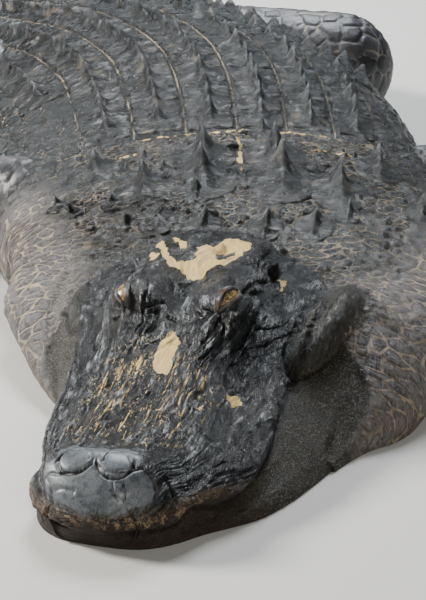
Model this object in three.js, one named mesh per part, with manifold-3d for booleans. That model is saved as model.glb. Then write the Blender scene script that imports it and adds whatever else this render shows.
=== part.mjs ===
// American alligator, a large old bull lying on the floor with its head turned a little to its right and its
// tail curling round to the same side. Life size, in millimetres, +Z up. The animal faces -Y, its left is +X.
// The body is one lofted skin, parted across by thin gaps into head, jaw, neck, torso and tail lengths.
import * as THREE from "three";
import { mergeVertices } from "three/addons/utils/BufferGeometryUtils.js";
import Module from "manifold-3d";

const wasm = await Module();
wasm.setup();

// Driving dimensions, measured back along the spine from the tip of the snout.
const totalLength = 3600;
const neckStart = 502;
const torsoCuts = [770, 1090, 1480, 1880];
const tailCuts = [1880, 2170, 2470, 2780, 3090, 3360, 3600];
const gap = 0.3; // left between nodes that touch
const boxMiddle = { x: -636.3, y: 1005.8 }; // the middle of the animal's box, seen from the tip of its snout

// A profile is a list of [distance from the snout tip, value], joined by a smooth curve without overshoots.
const heading = profile([
  [506, 16.4], [600, 8.5], [690, -1], [900, -4], [1080, -9], [1200, -17], [1400, -31], [1600, -44],
  [1800, -54], [2300, -73], [3000, -98], [3600, -118],
]);

// The cross-section is the smooth union of these blocks: the upper jaw and cheeks, the lower jaw and throat,
// the skull, and the body. Each has its half width, its top and its widest level, and is squarer under that
// level than above it, where the weight of the animal presses it on the floor.
const blocks = [
  {
    from: 0,
    to: 640,
    width: profile([
      [0, 79], [70, 90], [134, 118], [198, 138], [260, 150], [326, 158], [430, 178], [520, 182], [640, 120],
    ]),
    top: profile([[0, 58], [60, 68], [200, 80], [300, 104], [370, 132], [430, 147], [500, 142], [640, 84]]),
    middle: profile([[0, 32], [150, 30], [330, 38], [480, 56]]),
    squareness: () => 2.2,
    under: 4,
  },
  {
    from: 40,
    to: 640,
    width: profile([
      [40, 70], [90, 104], [156, 134], [216, 150], [260, 162], [312, 182], [345, 196], [430, 204], [520, 190],
      [640, 120],
    ]),
    top: profile([
      [40, 10], [90, 20], [156, 34], [216, 48], [260, 60], [312, 75], [345, 86], [430, 112], [520, 116],
      [640, 80],
    ]),
    middle: profile([[40, 8], [156, 16], [260, 22], [345, 34], [430, 50]]),
    squareness: () => 2.4,
    under: 4,
  },
  {
    from: 0,
    to: 580,
    width: profile([[0, 66], [80, 70], [170, 87], [240, 88], [300, 84], [490, 84], [580, 40]]),
    top: profile([
      [0, 80], [50, 84], [85, 80], [170, 88], [240, 103], [300, 125], [360, 150], [440, 172], [492, 176],
      [520, 160], [580, 116],
    ]),
    middle: profile([[0, 42], [200, 46], [330, 70], [450, 92]]),
    squareness: () => 3.2,
    under: 3.2,
  },
  {
    from: 240,
    to: totalLength,
    width: profile([
      [240, 150], [290, 176], [330, 214], [400, 256], [470, 288], [600, 300], [1000, 316], [1250, 330],
      [1450, 318], [1620, 272], [1800, 214], [2200, 130], [3000, 62], [3600, 14],
    ]),
    top: profile([
      [240, 14], [330, 56], [400, 98], [450, 118], [520, 138], [650, 184], [850, 214], [1250, 250],
      [1450, 253], [1770, 224], [2200, 178], [3000, 108], [3600, 28],
    ]),
    middle: profile([
      [240, 8], [330, 24], [400, 44], [500, 66], [800, 100], [1300, 110], [1770, 98], [2600, 62], [3600, 12],
    ]),
    squareness: profile([[600, 2.3], [1000, 1.75], [1250, 1.6], [1600, 1.7], [2100, 2.2]]),
    under: 3.4,
  },
];
const rayOrigin = profile([
  [0, 46], [200, 50], [420, 80], [800, 100], [1300, 110], [1770, 98], [2600, 62], [3600, 12],
]);
const crease = 16; // higher is a sharper crease where two blocks meet
const sink = 22; // how far the sections reach under the floor before they are cut flat
const snoutRound = 62; // length over which the front of the snout rounds off
const tailRound = 30;

// The mouth line's height: a lobe in front, a notch, the long maxilla, then up to the corner of the jaw.
// Behind the corner the knife that parts the jaws drops to the floor.
const mouthCorner = 430;
const mouthLine = profile([
  [0, 21], [34, 20], [62, 30], [88, 22], [150, 36], [212, 54], [316, 78], [372, 97], [mouthCorner, 112],
  [mouthCorner + 40, -40],
]);
const lipOverhang = 5;
const lipDepth = 25; // height over which the lip's overhang fades out at the floor

const eye = { at: 336, side: 58, height: 148, radius: 20 };

const backPlates = { firstRow: 852, rows: 18, pitch: 57 };
const random = randomFrom(1927);

function profile(points) {
  const last = points.length - 1;
  const slopes = points.slice(1).map((p, i) => (p[1] - points[i][1]) / (p[0] - points[i][0]));
  const tangents = points.map((_, i) => {
    if (i === 0) return slopes[0];
    if (i === last) return slopes[last - 1];
    const product = slopes[i - 1] * slopes[i];
    return product > 0 ? (2 * product) / (slopes[i - 1] + slopes[i]) : 0;
  });
  return (at) => {
    if (at <= points[0][0]) return points[0][1];
    if (at >= points[last][0]) return points[last][1];
    let i = 0;
    while (at > points[i + 1][0]) i++;
    const span = points[i + 1][0] - points[i][0];
    const t = (at - points[i][0]) / span;
    return (
      points[i][1] * (2 * t ** 3 - 3 * t ** 2 + 1) +
      points[i + 1][1] * (3 * t ** 2 - 2 * t ** 3) +
      tangents[i] * span * (t ** 3 - 2 * t ** 2 + t) +
      tangents[i + 1] * span * (t ** 3 - t ** 2)
    );
  };
}

function randomFrom(seed) {
  let state = seed;
  return (low, high) => {
    state = (state * 48271) % 2147483647;
    return low + ((high - low) * state) / 2147483647;
  };
}

// The spine on the floor plan, walked backwards from the snout tip in short steps.
const spineStep = 5;
const spine = [{ x: 0, y: 0 }];
for (let s = spineStep; s <= totalLength + spineStep; s += spineStep) {
  const turn = THREE.MathUtils.degToRad(heading(s - spineStep / 2));
  const before = spine[spine.length - 1];
  spine.push({ x: before.x + spineStep * Math.sin(turn), y: before.y + spineStep * Math.cos(turn) });
}

// The head leans a little to its right: what is high moves across and its left side lifts, while its underside
// stays flat on the floor.
const headLean = 0.07;
const leanAt = profile([[0, headLean], [440, headLean], [640, 0]]);
const leanReach = 160; // how far out to the left the lean lifts a point by its full share

// What lies low is pressed sideways: the lower jaw and throat to the left under the leaning head, and the right
// flank out and the left flank in by the bend of the trunk.
const sag = profile([
  [0, -2], [50, -8], [120, -34], [330, -42], [470, -20], [560, 0], [900, 58], [1300, 64], [1600, 26],
  [1800, 0],
]);
const sagTop = profile([[0, 80], [470, 110], [620, 230]]);

// The place of a point given along the spine, out to the animal's left, and up.
function place(along, left, up) {
  const clamped = THREE.MathUtils.clamp(along, 0, totalLength);
  const i = Math.min(Math.floor(clamped / spineStep), spine.length - 2);
  const share = clamped / spineStep - i;
  const turn = THREE.MathUtils.degToRad(heading(clamped));
  const beyond = along - clamped;
  const x = spine[i].x + share * (spine[i + 1].x - spine[i].x) + beyond * Math.sin(turn);
  const y = spine[i].y + share * (spine[i + 1].y - spine[i].y) + beyond * Math.cos(turn);
  const lean = leanAt(clamped);
  const out = left - lean * up - sag(clamped) * Math.max(1 - up / sagTop(clamped), 0);
  return new THREE.Vector3(
    x + out * Math.cos(turn) - boxMiddle.x,
    y - out * Math.sin(turn) - boxMiddle.y,
    up * (1 + (lean * left) / leanReach),
  );
}

function roundedEnd(s) {
  const nearest = Math.min(s / snoutRound, (totalLength - s) / tailRound, 1);
  return Math.sqrt(Math.max(1 - (1 - nearest) ** 2, 0.01));
}

// Below 1 inside the section at s, above 1 outside it.
function sectionField(s, b, z) {
  const end = roundedEnd(s);
  let sum = 0;
  for (const block of blocks) {
    if (s < block.from || s > block.to) continue;
    const middle = block.middle(s);
    const half = block.width(s) * end;
    const reach = (z > middle ? block.top(s) - middle : middle + sink) * end;
    const n = z > middle ? block.squareness(s) : block.under;
    const level = ((Math.abs(b) / half) ** n + (Math.abs(z - middle) / reach) ** n) ** (1 / n);
    sum += Math.max(level, 0.01) ** -crease;
  }
  return sum ** (-1 / crease);
}

// Low relief of the head's upper side: ridges in front of the eyes, the rim and the two pits of the skull
// table, the hollow between the eyes and the rise behind the nostrils.
function headRelief(s, b) {
  const hill = (at, side, length, width) =>
    Math.exp(-(((s - at) / length) ** 2) - ((Math.abs(b) - side) / width) ** 2);
  return (
    6 * hill(235, 44, 60, 11) +
    4 * hill(120, 36, 40, 14) +
    4 * hill(452, 62, 36, 10) -
    7 * hill(352, 0, 36, 24) -
    8 * hill(440, 28, 15, 12) +
    5 * hill(40, 0, 22, 40)
  );
}

// One side of the section at s, from the middle of the back to the middle of the belly.
const sectionCache = new Map();
function halfSection(s) {
  const key = s.toFixed(2);
  if (sectionCache.has(key)) return sectionCache.get(key);
  const rays = 72;
  const origin = rayOrigin(s);
  const side = [];
  let run = 0;
  for (let i = 0; i <= rays; i++) {
    const angle = Math.PI / 2 - (Math.PI * i) / rays;
    let low = 0;
    let high = 600;
    for (let turn = 0; turn < 24; turn++) {
      const radius = (low + high) / 2;
      if (sectionField(s, radius * Math.cos(angle), origin + radius * Math.sin(angle)) < 1) low = radius;
      else high = radius;
    }
    const b = Math.max(low * Math.cos(angle), 0);
    let z = origin + low * Math.sin(angle);
    if (s < neckStart + 60 && z > origin) z += headRelief(s, b) * Math.min((z - origin) / 40, 1);
    z = Math.max(z, 0);
    const before = side[i - 1];
    if (before) run += Math.hypot(b - before.b, z - before.z);
    side.push({ b, z, run });
  }
  sectionCache.set(key, side);
  return side;
}

function sectionAt(s, run) {
  const side = halfSection(s);
  const distance = Math.min(Math.abs(run), side[side.length - 1].run);
  let i = 1;
  while (i < side.length - 1 && side[i].run < distance) i++;
  const span = side[i].run - side[i - 1].run;
  const t = span > 0 ? (distance - side[i - 1].run) / span : 0;
  return {
    b: Math.sign(run) * (side[i - 1].b + t * (side[i].b - side[i - 1].b)),
    z: side[i - 1].z + t * (side[i].z - side[i - 1].z),
  };
}

// A point on the skin, given along the spine and across from the middle of the back, raised off it by up.
function onSkin(s, run, up = 0) {
  const point = (a, q) => {
    const { b, z } = sectionAt(a, q);
    return place(a, b, z);
  };
  const along = point(s + 4, run).sub(point(s - 4, run));
  const across = point(s, run + 4).sub(point(s, run - 4));
  const normal = across.cross(along).normalize();
  return point(s, run).addScaledVector(normal, up);
}

// The section at s as points from the middle of the back down each side to the edge of the flat underneath.
function ring(s, perSide, inset) {
  const side = halfSection(s);
  const flatEdge = side.find(({ z, run }) => run > 0 && z === 0) ?? side[side.length - 1];
  const origin = rayOrigin(s);
  const points = [];
  for (let i = -perSide; i <= perSide; i++) {
    const { b, z } = sectionAt(s, (i / perSide) * flatEdge.run);
    const out = Math.sign(i) * Math.max(Math.abs(b), i === 0 ? 0 : 1);
    const pull = 1 - (inset * Math.min(z / lipDepth, 1)) / Math.max(Math.hypot(b, z - origin), 1);
    points.push(place(s, out * pull, z < 0.01 ? 0 : Math.max(origin + (z - origin) * pull, 0)));
  }
  return points;
}

// A closed solid through rings of equally many points, its two ends closed by fans.
function loft(rings) {
  const count = rings[0].length;
  const vertices = rings.flat();
  const faces = [];
  for (let i = 0; i < rings.length - 1; i++) {
    for (let j = 0; j < count; j++) {
      const k = (j + 1) % count;
      const [a, b, c, d] = [i * count + j, i * count + k, (i + 1) * count + j, (i + 1) * count + k];
      faces.push(a, c, b, b, c, d);
    }
  }
  for (const end of [0, rings.length - 1]) {
    const middle = rings[end].reduce((sum, p) => sum.add(p), new THREE.Vector3()).divideScalar(count);
    const centre = vertices.push(middle) - 1;
    for (let j = 0; j < count; j++) {
      const edge = [end * count + j, end * count + ((j + 1) % count)];
      faces.push(centre, ...(end === 0 ? edge : edge.reverse()));
    }
  }
  return closedGeometry(vertices, faces);
}

function closedGeometry(vertices, faces) {
  let volume = 0;
  for (let i = 0; i < faces.length; i += 3) {
    const [a, b, c] = [vertices[faces[i]], vertices[faces[i + 1]], vertices[faces[i + 2]]];
    volume += a.dot(b.clone().cross(c));
  }
  const outward = volume < 0 ? faces.slice().reverse() : faces;
  const geometry = new THREE.BufferGeometry().setFromPoints(vertices);
  geometry.setIndex(outward);
  return geometry;
}

function solidOf(geometry) {
  const bare = geometry.clone();
  bare.deleteAttribute("normal");
  bare.deleteAttribute("uv");
  const merged = mergeVertices(bare, 1e-3);
  return new wasm.Manifold(
    new wasm.Mesh({
      numProp: 3,
      vertProperties: merged.attributes.position.array,
      triVerts: new Uint32Array(merged.index.array),
    }),
  );
}

function geometryOf(solid) {
  const { numProp, numVert, vertProperties, triVerts } = solid.getMesh();
  const positions = new Float32Array(numVert * 3);
  for (let i = 0; i < numVert; i++) {
    positions.set(vertProperties.subarray(i * numProp, i * numProp + 3), i * 3);
  }
  return new THREE.BufferGeometry()
    .setAttribute("position", new THREE.BufferAttribute(positions, 3))
    .setIndex(new THREE.BufferAttribute(triVerts, 1));
}

function joined(solids) {
  return wasm.Manifold.union(solids);
}

function largest(solid) {
  return solid.decompose().sort((a, b) => b.volume() - a.volume())[0];
}

function cutClear(solid, others) {
  return largest(solid.subtract(joined(others)));
}

// A length of the body between two places on the spine, standing clear of its neighbours by half a gap.
function bodyLength(start, end, step, perSide, inset = () => 0) {
  const first = Math.max(start, 0) + (start > 0 ? gap / 2 : 0.5);
  const last = end - (end < totalLength ? gap / 2 : 0.5);
  const places = [first];
  if (start === 0) places.push(2, 5, 10, 18, 28);
  for (let s = (start === 0 ? 40 : start + step); s < last - step * 0.4; s += step) places.push(s);
  if (end === totalLength) places.push(last - 14, last - 5);
  places.push(last);
  return solidOf(loft(places.sort((a, b) => a - b).map((s) => ring(s, perSide, inset(s)))));
}

// A horny plate: four sunk corners, four rim corners, and a keel that climbs towards the rear.
function plate({ at, side, length, width, rim, front, rear, root = 9, lean = 0.3, grow = 0 }) {
  const corners = [[-1, -1], [-1, 1], [1, 1], [1, -1]];
  const corner = (share, up) => ([a, b]) =>
    onSkin(at + a * ((length * share) / 2 + grow), side + b * ((width * share) / 2 + grow), up);
  const vertices = [
    ...corners.map(corner(1, -root)),
    ...corners.map(corner(0.93, rim + grow)),
    onSkin(at - 0.4 * length, side, front + grow),
    onSkin(at + lean * length, side, rear + grow),
  ];
  const faces = [
    0, 1, 2, 0, 2, 3, 0, 5, 1, 0, 4, 5, 1, 6, 2, 1, 5, 6, 2, 7, 3, 2, 6, 7, 3, 4, 0, 3, 7, 4,
    4, 8, 5, 6, 9, 7, 5, 8, 9, 5, 9, 6, 4, 9, 8, 4, 7, 9,
  ];
  return solidOf(closedGeometry(vertices, faces));
}

// A limb piece: a round-ended taper between two points, as flat as its own factor says and flat on the floor.
function limb({ from, to, radius, flat = 1, around = 12, grow = 0, steps = 4, caps = [0.1, 0.55] }) {
  const axis = to.clone().sub(from);
  const length = axis.length();
  axis.normalize();
  const across = new THREE.Vector3(0, 0, 1).cross(axis).normalize();
  const upward = axis.clone().cross(across).normalize();
  const taper = (t) => radius(THREE.MathUtils.clamp(t, 0, 1));
  const places = [
    ...caps.map((c) => ({ t: (-taper(0) * (1 - c)) / length, size: Math.sqrt(1 - (1 - c) ** 2) * taper(0) })),
    ...Array.from({ length: steps + 1 }, (_, i) => ({ t: i / steps, size: taper(i / steps) })),
    ...caps.toReversed().map((c) => ({
      t: 1 + (taper(1) * (1 - c)) / length,
      size: Math.sqrt(1 - (1 - c) ** 2) * taper(1),
    })),
  ];
  places[0].t -= grow / length;
  places[places.length - 1].t += grow / length;
  return solidOf(
    loft(
      places.map(({ t, size }) => {
        const middle = from.clone().addScaledVector(axis, t * length);
        return Array.from({ length: around }, (_, i) => {
          const angle = (2 * Math.PI * i) / around;
          const point = middle
            .clone()
            .addScaledVector(across, (size + grow) * Math.cos(angle))
            .addScaledVector(upward, (size * flat + grow) * Math.sin(angle));
          point.z = Math.max(point.z, 0);
          return point;
        });
      }),
    ),
  );
}

// An ellipsoid whose length lies along the head, turned on the floor and rising to the rear by its pitch.
function ellipsoid(centre, along, across, up, turn, pitch = 0) {
  const geometry = new THREE.SphereGeometry(1, 10, 6);
  geometry.rotateX(Math.PI / 2);
  geometry.scale(across, along, up);
  geometry.rotateX(pitch);
  geometry.rotateZ(turn);
  geometry.translate(centre.x, centre.y, centre.z);
  return solidOf(geometry);
}

const group = new THREE.Group();
const skinColour = new THREE.MeshStandardMaterial({ color: 0x4a5150, roughness: 0.55, metalness: 0 });
const jawColour = new THREE.MeshStandardMaterial({ color: 0x4b4740, roughness: 0.5, metalness: 0 });
const clawColour = new THREE.MeshStandardMaterial({ color: 0x2b2622, roughness: 0.4, metalness: 0 });
const eyeColour = new THREE.MeshStandardMaterial({ color: 0x8a6a30, roughness: 0.15, metalness: 0 });

function addNode(name, solid, material) {
  const mesh = new THREE.Mesh(geometryOf(largest(solid)), material);
  mesh.name = name;
  group.add(mesh);
}

const headTurn = -THREE.MathUtils.degToRad(heading(0));
const sides = [{ name: "left", sign: 1 }, { name: "right", sign: -1 }];

// Head and lower jaw: the same loft twice, the jaw a little smaller, parted along the line of the mouth.
function underMouth(shift) {
  const outline = new THREE.Shape();
  outline.moveTo(-60, -60);
  outline.lineTo(mouthCorner + 40, -60);
  for (let s = mouthCorner + 35; s > mouthCorner; s -= 7) outline.lineTo(s + shift, mouthLine(s) + shift);
  for (let s = mouthCorner; s >= -60; s -= 20) outline.lineTo(s, mouthLine(Math.max(s, 0)) + shift);
  const geometry = new THREE.ExtrudeGeometry(outline, { depth: 800, bevelEnabled: false, steps: 1 });
  geometry.translate(0, 0, -400);
  // The outline's x runs back along the head, its y goes up and its depth goes across.
  const basis = new THREE.Matrix4().makeBasis(
    new THREE.Vector3(-Math.sin(headTurn), Math.cos(headTurn), 0),
    new THREE.Vector3(0, 0, 1),
    new THREE.Vector3(Math.cos(headTurn), Math.sin(headTurn), 0),
  );
  geometry.applyMatrix4(basis);
  const tip = place(0, 0, 0);
  geometry.translate(tip.x, tip.y, 0);
  return solidOf(geometry);
}

function headForms() {
  const forms = [];
  for (const { sign } of sides) {
    // Brow over the eye, nostril valve, ear flap behind the eye and jaw muscle at the corner of the mouth.
    forms.push(ellipsoid(place(eye.at + 4, sign * (eye.side - 4), 142), 48, 26, 28, headTurn));
    forms.push(ellipsoid(place(38, sign * 21, 78), 17, 20, 10, headTurn + sign * 0.35));
    forms.push(ellipsoid(place(455, sign * 88, 154), 54, 11, 14, headTurn));
    forms.push(ellipsoid(place(396, sign * 156, 98), 86, 24, 25, headTurn - sign * 0.23, 0.25));
  }
  return forms;
}

function eyeBall(sign, grow = 0) {
  const middle = place(eye.at, sign * eye.side, eye.height);
  const radius = eye.radius + grow;
  return ellipsoid(middle, radius, radius, radius, headTurn);
}

function headCuts() {
  const cuts = [];
  for (const { sign } of sides) {
    cuts.push(eyeBall(sign, gap));
    // The opening between the lids, the nostril's slit and the slit under the ear flap.
    cuts.push(ellipsoid(place(eye.at - 7, sign * (eye.side + 17), eye.height + 2), 22, 20, 8, headTurn, 0.5));
    cuts.push(ellipsoid(place(24, sign * 24, 79), 5, 15, 9, headTurn + sign * 0.4));
    cuts.push(ellipsoid(place(455, sign * 101, 145), 46, 13, 3, headTurn));
  }
  return cuts;
}

// The lower lip tucks in under the upper one and comes out to it at the corner of the mouth.
const lipInset = profile([[0, lipOverhang], [mouthCorner - 60, lipOverhang], [mouthCorner, 0]]);
const head = joined([bodyLength(0, neckStart, 23, 11), ...headForms()])
  .subtract(joined([...headCuts(), underMouth(gap / 2)]));
const neck = bodyLength(neckStart, torsoCuts[0], 38, 10);
addNode("head", head.subtract(behindHead()), skinColour);
addNode("lower_jaw", bodyLength(0, neckStart, 26, 11, lipInset).intersect(underMouth(-gap / 2)), jawColour);
for (const { name, sign } of sides) addNode("eye_" + name, eyeBall(sign), eyeColour);

// Everything behind the plane where the head meets the neck.
function behindHead() {
  const block = new THREE.BoxGeometry(900, 300, 600);
  block.translate(0, 150, 0);
  block.rotateZ(headTurn);
  const middle = place(neckStart - gap / 2, 0, 0);
  block.translate(middle.x, middle.y, 0);
  return solidOf(block);
}

// Neck: tall keeled nape plates in two rows, with smaller ones outside them.
const napePlates = [
  { at: 566, side: 40, length: 30, width: 34, rim: 3, front: 5, rear: 13 },
  { at: 574, side: 100, length: 30, width: 34, rim: 3, front: 5, rear: 13 },
  { at: 664, side: 52, length: 62, width: 62, rim: 4, front: 9, rear: 36 },
  { at: 650, side: 128, length: 52, width: 52, rim: 4, front: 8, rear: 26 },
  { at: 733, side: 48, length: 54, width: 58, rim: 4, front: 8, rear: 30 },
  { at: 728, side: 190, length: 46, width: 46, rim: 3, front: 6, rear: 18 },
];
const bothSides = (plates) => plates.flatMap((p) => sides.map(({ sign }) => ({ ...p, side: sign * p.side })));
addNode("neck", joined([neck, ...bothSides(napePlates).map(plate)]), skinColour);

// Torso: rows of keeled plates across the back, six at the shoulders, eight in the middle, four at the hips.
const platesAcross = profile([[840, 5.4], [1100, 6.6], [1180, 8], [1440, 8], [1600, 6], [1780, 4]]);
const columnWidth = profile([[840, 70], [1100, 76], [1500, 74], [1800, 54], [1880, 46]]);

function backRow(at) {
  const count = 2 * Math.round(platesAcross(at) / 2);
  const width = columnWidth(at);
  return Array.from({ length: count }, (_, i) => {
    const side = (i - (count - 1) / 2) * width;
    const outer = Math.abs(side) / (width * 4);
    const keel = (20 - 6 * outer) * random(0.8, 1.2);
    return {
      at: at + outer * 8 + random(-2, 2),
      side,
      length: backPlates.pitch * 0.94,
      width: width * 0.94,
      rim: 3.5,
      front: 6,
      rear: 3.5 + keel,
    };
  });
}

const torsoNames = ["torso_front", "torso_middle", "torso_rear"];
const torsoSides = 8;
const torsoLength = (i, grow = 0) => bodyLength(torsoCuts[i], torsoCuts[i + 1], 62, torsoSides, () => -grow);
const torsoPlates = torsoNames.map(() => []);
for (let row = 0; row < backPlates.rows; row++) {
  const at = backPlates.firstRow + row * backPlates.pitch;
  const reach = backPlates.pitch / 2 + 6;
  const i = torsoCuts.findIndex((cut) => cut > at) - 1;
  const clear = at - reach > torsoCuts[i] && at + reach < torsoCuts[i + 1];
  if (clear) torsoPlates[i].push(...backRow(at));
}
torsoNames.forEach((name, i) => {
  addNode(name, joined([torsoLength(i), ...torsoPlates[i].map(plate)]), skinColour);
});

// Tail: whorls that shorten to the tip, with a pair of upright crests on each and a single one further back.
const tailPitch = profile([[1900, 56], [2600, 50], [3200, 42], [3600, 30]]);
const crestHeight = profile([[1900, 22], [2200, 34], [2700, 46], [3100, 44], [3450, 26], [3600, 12]]);
const doubleCrestEnd = 2780;

function tailCrests(start, end) {
  const crests = [];
  let at = 1912;
  while (at < totalLength - 40) {
    const pitch = tailPitch(at);
    if (at - pitch * 0.5 > start && at + pitch * 0.6 < end) {
      const rear = crestHeight(at) * random(0.9, 1.1);
      const heights = { rim: rear * 0.35, front: rear * 0.55, rear };
      const shape = { at, length: pitch * 0.9, ...heights, root: 8, lean: 0.42 };
      const spread = THREE.MathUtils.mapLinear(at, 1900, doubleCrestEnd, 30, 9);
      if (at < doubleCrestEnd) crests.push(...bothSides([{ ...shape, side: spread, width: 15 }]));
      else crests.push({ ...shape, side: 0, width: 12 });
    }
    at += pitch;
  }
  return crests;
}

for (let i = 0; i < tailCuts.length - 1; i++) {
  const [start, end] = tailCuts.slice(i, i + 2);
  const crests = tailCrests(start, end).map(plate);
  addNode("tail_" + (i + 1), joined([bodyLength(start, end, 62, 6), ...crests]), skinColour);
}

// Legs: each lies folded beside the body with its foot flat on the floor.
const foreLeg = {
  name: "fore",
  pieces: ["upper_arm", "forearm", "hand"],
  hosts: [0],
  root: [850, 225, 96],
  bend: [962, 388, 86],
  joint: [836, 452, 40],
  palm: [776, 476, 22],
  upper: profile([[0, 64], [0.5, 60], [1, 48]]),
  lower: profile([[0, 47], [0.35, 46], [1, 27]]),
  palmSize: profile([[0, 27], [1, 34]]),
  // Length, bearing from straight ahead towards the outside, and whether it has a claw.
  digits: [
    { length: 50, bearing: -46, claw: true }, { length: 68, bearing: -16, claw: true },
    { length: 74, bearing: 12, claw: true }, { length: 64, bearing: 42, claw: false },
    { length: 48, bearing: 74, claw: false },
  ],
  digitRadius: 10,
};
const hindLeg = {
  name: "hind",
  pieces: ["thigh", "shank", "foot"],
  hosts: [1, 2],
  root: [1640, 150, 108],
  bend: [1405, 408, 102],
  joint: [1650, 440, 52],
  palm: [1576, 504, 24],
  upper: profile([[0, 88], [0.5, 98], [1, 98]]),
  lower: profile([[0, 86], [0.35, 74], [1, 36]]),
  palmSize: profile([[0, 36], [1, 46]]),
  digits: [
    { length: 72, bearing: -2, claw: true }, { length: 98, bearing: 22, claw: true },
    { length: 104, bearing: 44, claw: true }, { length: 84, bearing: 68, claw: false },
  ],
  digitRadius: 12,
};

// A straight-ahead direction on the floor at a place along the spine, turned outwards by the bearing.
function bearingAt(along, sign, degrees) {
  const turn = THREE.MathUtils.degToRad(degrees);
  const ahead = place(along - 50, 0, 0).sub(place(along + 50, 0, 0)).normalize();
  const outward = place(along, sign * 100, 0).sub(place(along, 0, 0)).normalize();
  return ahead.multiplyScalar(Math.cos(turn)).addScaledVector(outward, Math.sin(turn));
}

function digitPieces(leg, sign) {
  const palm = place(leg.palm[0], sign * leg.palm[1], leg.palm[2] - 4);
  return leg.digits.map(({ length, bearing, claw }) => {
    const way = bearingAt(leg.palm[0], sign, bearing);
    const base = palm.clone().addScaledVector(way, leg.palmSize(1) * 0.55);
    const tip = base.clone().addScaledVector(way, length).setZ(leg.digitRadius * 0.75);
    return { base, tip, way, claw, size: (t) => leg.digitRadius * (1.15 - 0.35 * t) };
  });
}

function webbing(digits) {
  return digits.slice(0, -1).map(({ base, tip }, i) => {
    const next = digits[i + 1];
    const between = (a, b) => a.clone().add(b).multiplyScalar(0.5);
    const edge = between(base, next.base).lerp(between(tip, next.tip), 0.42);
    const outline = [base, base.clone().lerp(tip, 0.62), edge, next.base.clone().lerp(next.tip, 0.62), next.base];
    return solidOf(loft([outline.map((p) => p.clone().setZ(0)), outline.map((p) => p.clone().setZ(7))]));
  });
}

function clawHorn({ tip, way }, radius) {
  const bends = [[-6, 0, 1], [11, 0, 0.85], [25, -4.5, 0.12]];
  const across = new THREE.Vector3(0, 0, 1).cross(way);
  return solidOf(
    loft(
      bends.map(([ahead, up, size]) =>
        Array.from({ length: 5 }, (_, i) => {
          const angle = (2 * Math.PI * i) / 5;
          const point = tip.clone().addScaledVector(way, ahead + radius * 0.6);
          point.addScaledVector(across, radius * size * 0.75 * Math.cos(angle));
          point.z = Math.max(point.z + up + radius * size * Math.sin(angle), 0.2);
          return point;
        }),
      ),
    ),
  );
}

const growth = gap * 1.4; // a radial allowance that leaves the gap on slanting faces too

// The lengths of the trunk that a leg crosses, with their plates and with the gaps between them closed.
function trunkGrown(hosts) {
  const lengths = hosts.map((host) => torsoLength(host, growth));
  const seams = hosts.slice(1).map((host) => {
    const cut = torsoCuts[host];
    return bodyLength(cut - 1, cut + 1, 2, torsoSides, () => -growth);
  });
  const plates = hosts.flatMap((host) => torsoPlates[host].map((p) => plate({ ...p, grow: growth })));
  return joined([...lengths, ...seams, ...plates]);
}

for (const leg of [foreLeg, hindLeg]) {
  for (const { name, sign } of sides) {
    const [root, bend, joint, palm] = [leg.root, leg.bend, leg.joint, leg.palm]
      .map(([along, side, up]) => place(along, sign * side, up));
    const trunk = trunkGrown(leg.hosts);
    const upperPiece = (grow) => limb({ from: root, to: bend, radius: leg.upper, grow });
    const lowerPiece = (grow) => limb({ from: bend, to: joint, radius: leg.lower, grow });
    const digits = digitPieces(leg, sign);
    const palmShape = { flat: 0.62, around: 10, steps: 3, caps: [0.35] };
    const digitShape = { around: 5, steps: 1, caps: [0.3] };
    const footPiece = (grow) =>
      joined([
        limb({ from: joint, to: palm, radius: leg.palmSize, grow, ...palmShape }),
        ...digits.map((d) => limb({ from: d.base, to: d.tip, radius: d.size, grow, ...digitShape })),
        ...(leg === hindLeg ? webbing(digits) : []),
      ]);
    const names = leg.pieces.map((piece) => piece + "_" + name);
    addNode(names[0], cutClear(upperPiece(0), [trunk]), skinColour);
    addNode(names[1], cutClear(lowerPiece(0), [trunk, upperPiece(growth)]), skinColour);
    addNode(names[2], cutClear(footPiece(0), [trunk, lowerPiece(growth)]), skinColour);
    digits.filter((d) => d.claw).forEach((digit, i) => {
      const horn = clawHorn(digit, leg.digitRadius * 0.62);
      addNode([leg.name, "claw", name, i + 1].join("_"), cutClear(horn, [footPiece(growth)]), clawColour);
    });
  }
}

export default group;
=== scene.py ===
import math

import bmesh
import bpy
import numpy as np
from mathutils import Matrix, Vector


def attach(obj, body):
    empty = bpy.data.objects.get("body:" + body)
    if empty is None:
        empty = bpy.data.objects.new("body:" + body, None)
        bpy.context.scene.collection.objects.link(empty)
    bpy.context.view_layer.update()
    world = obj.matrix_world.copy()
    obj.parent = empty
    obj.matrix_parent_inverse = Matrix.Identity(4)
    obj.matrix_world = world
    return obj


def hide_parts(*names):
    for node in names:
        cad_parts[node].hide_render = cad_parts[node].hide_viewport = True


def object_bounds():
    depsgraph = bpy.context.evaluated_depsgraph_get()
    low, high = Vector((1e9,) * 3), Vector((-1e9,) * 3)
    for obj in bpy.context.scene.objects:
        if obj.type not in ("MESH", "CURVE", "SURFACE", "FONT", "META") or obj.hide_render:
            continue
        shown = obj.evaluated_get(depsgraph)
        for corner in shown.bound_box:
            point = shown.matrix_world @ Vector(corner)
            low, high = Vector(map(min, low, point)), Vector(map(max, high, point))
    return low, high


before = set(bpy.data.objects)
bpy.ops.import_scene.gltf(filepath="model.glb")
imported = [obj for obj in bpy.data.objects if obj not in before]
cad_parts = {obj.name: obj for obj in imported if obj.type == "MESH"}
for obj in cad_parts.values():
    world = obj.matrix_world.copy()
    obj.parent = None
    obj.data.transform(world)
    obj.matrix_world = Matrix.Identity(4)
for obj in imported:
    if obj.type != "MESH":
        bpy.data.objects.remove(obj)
solid_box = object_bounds()

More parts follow.
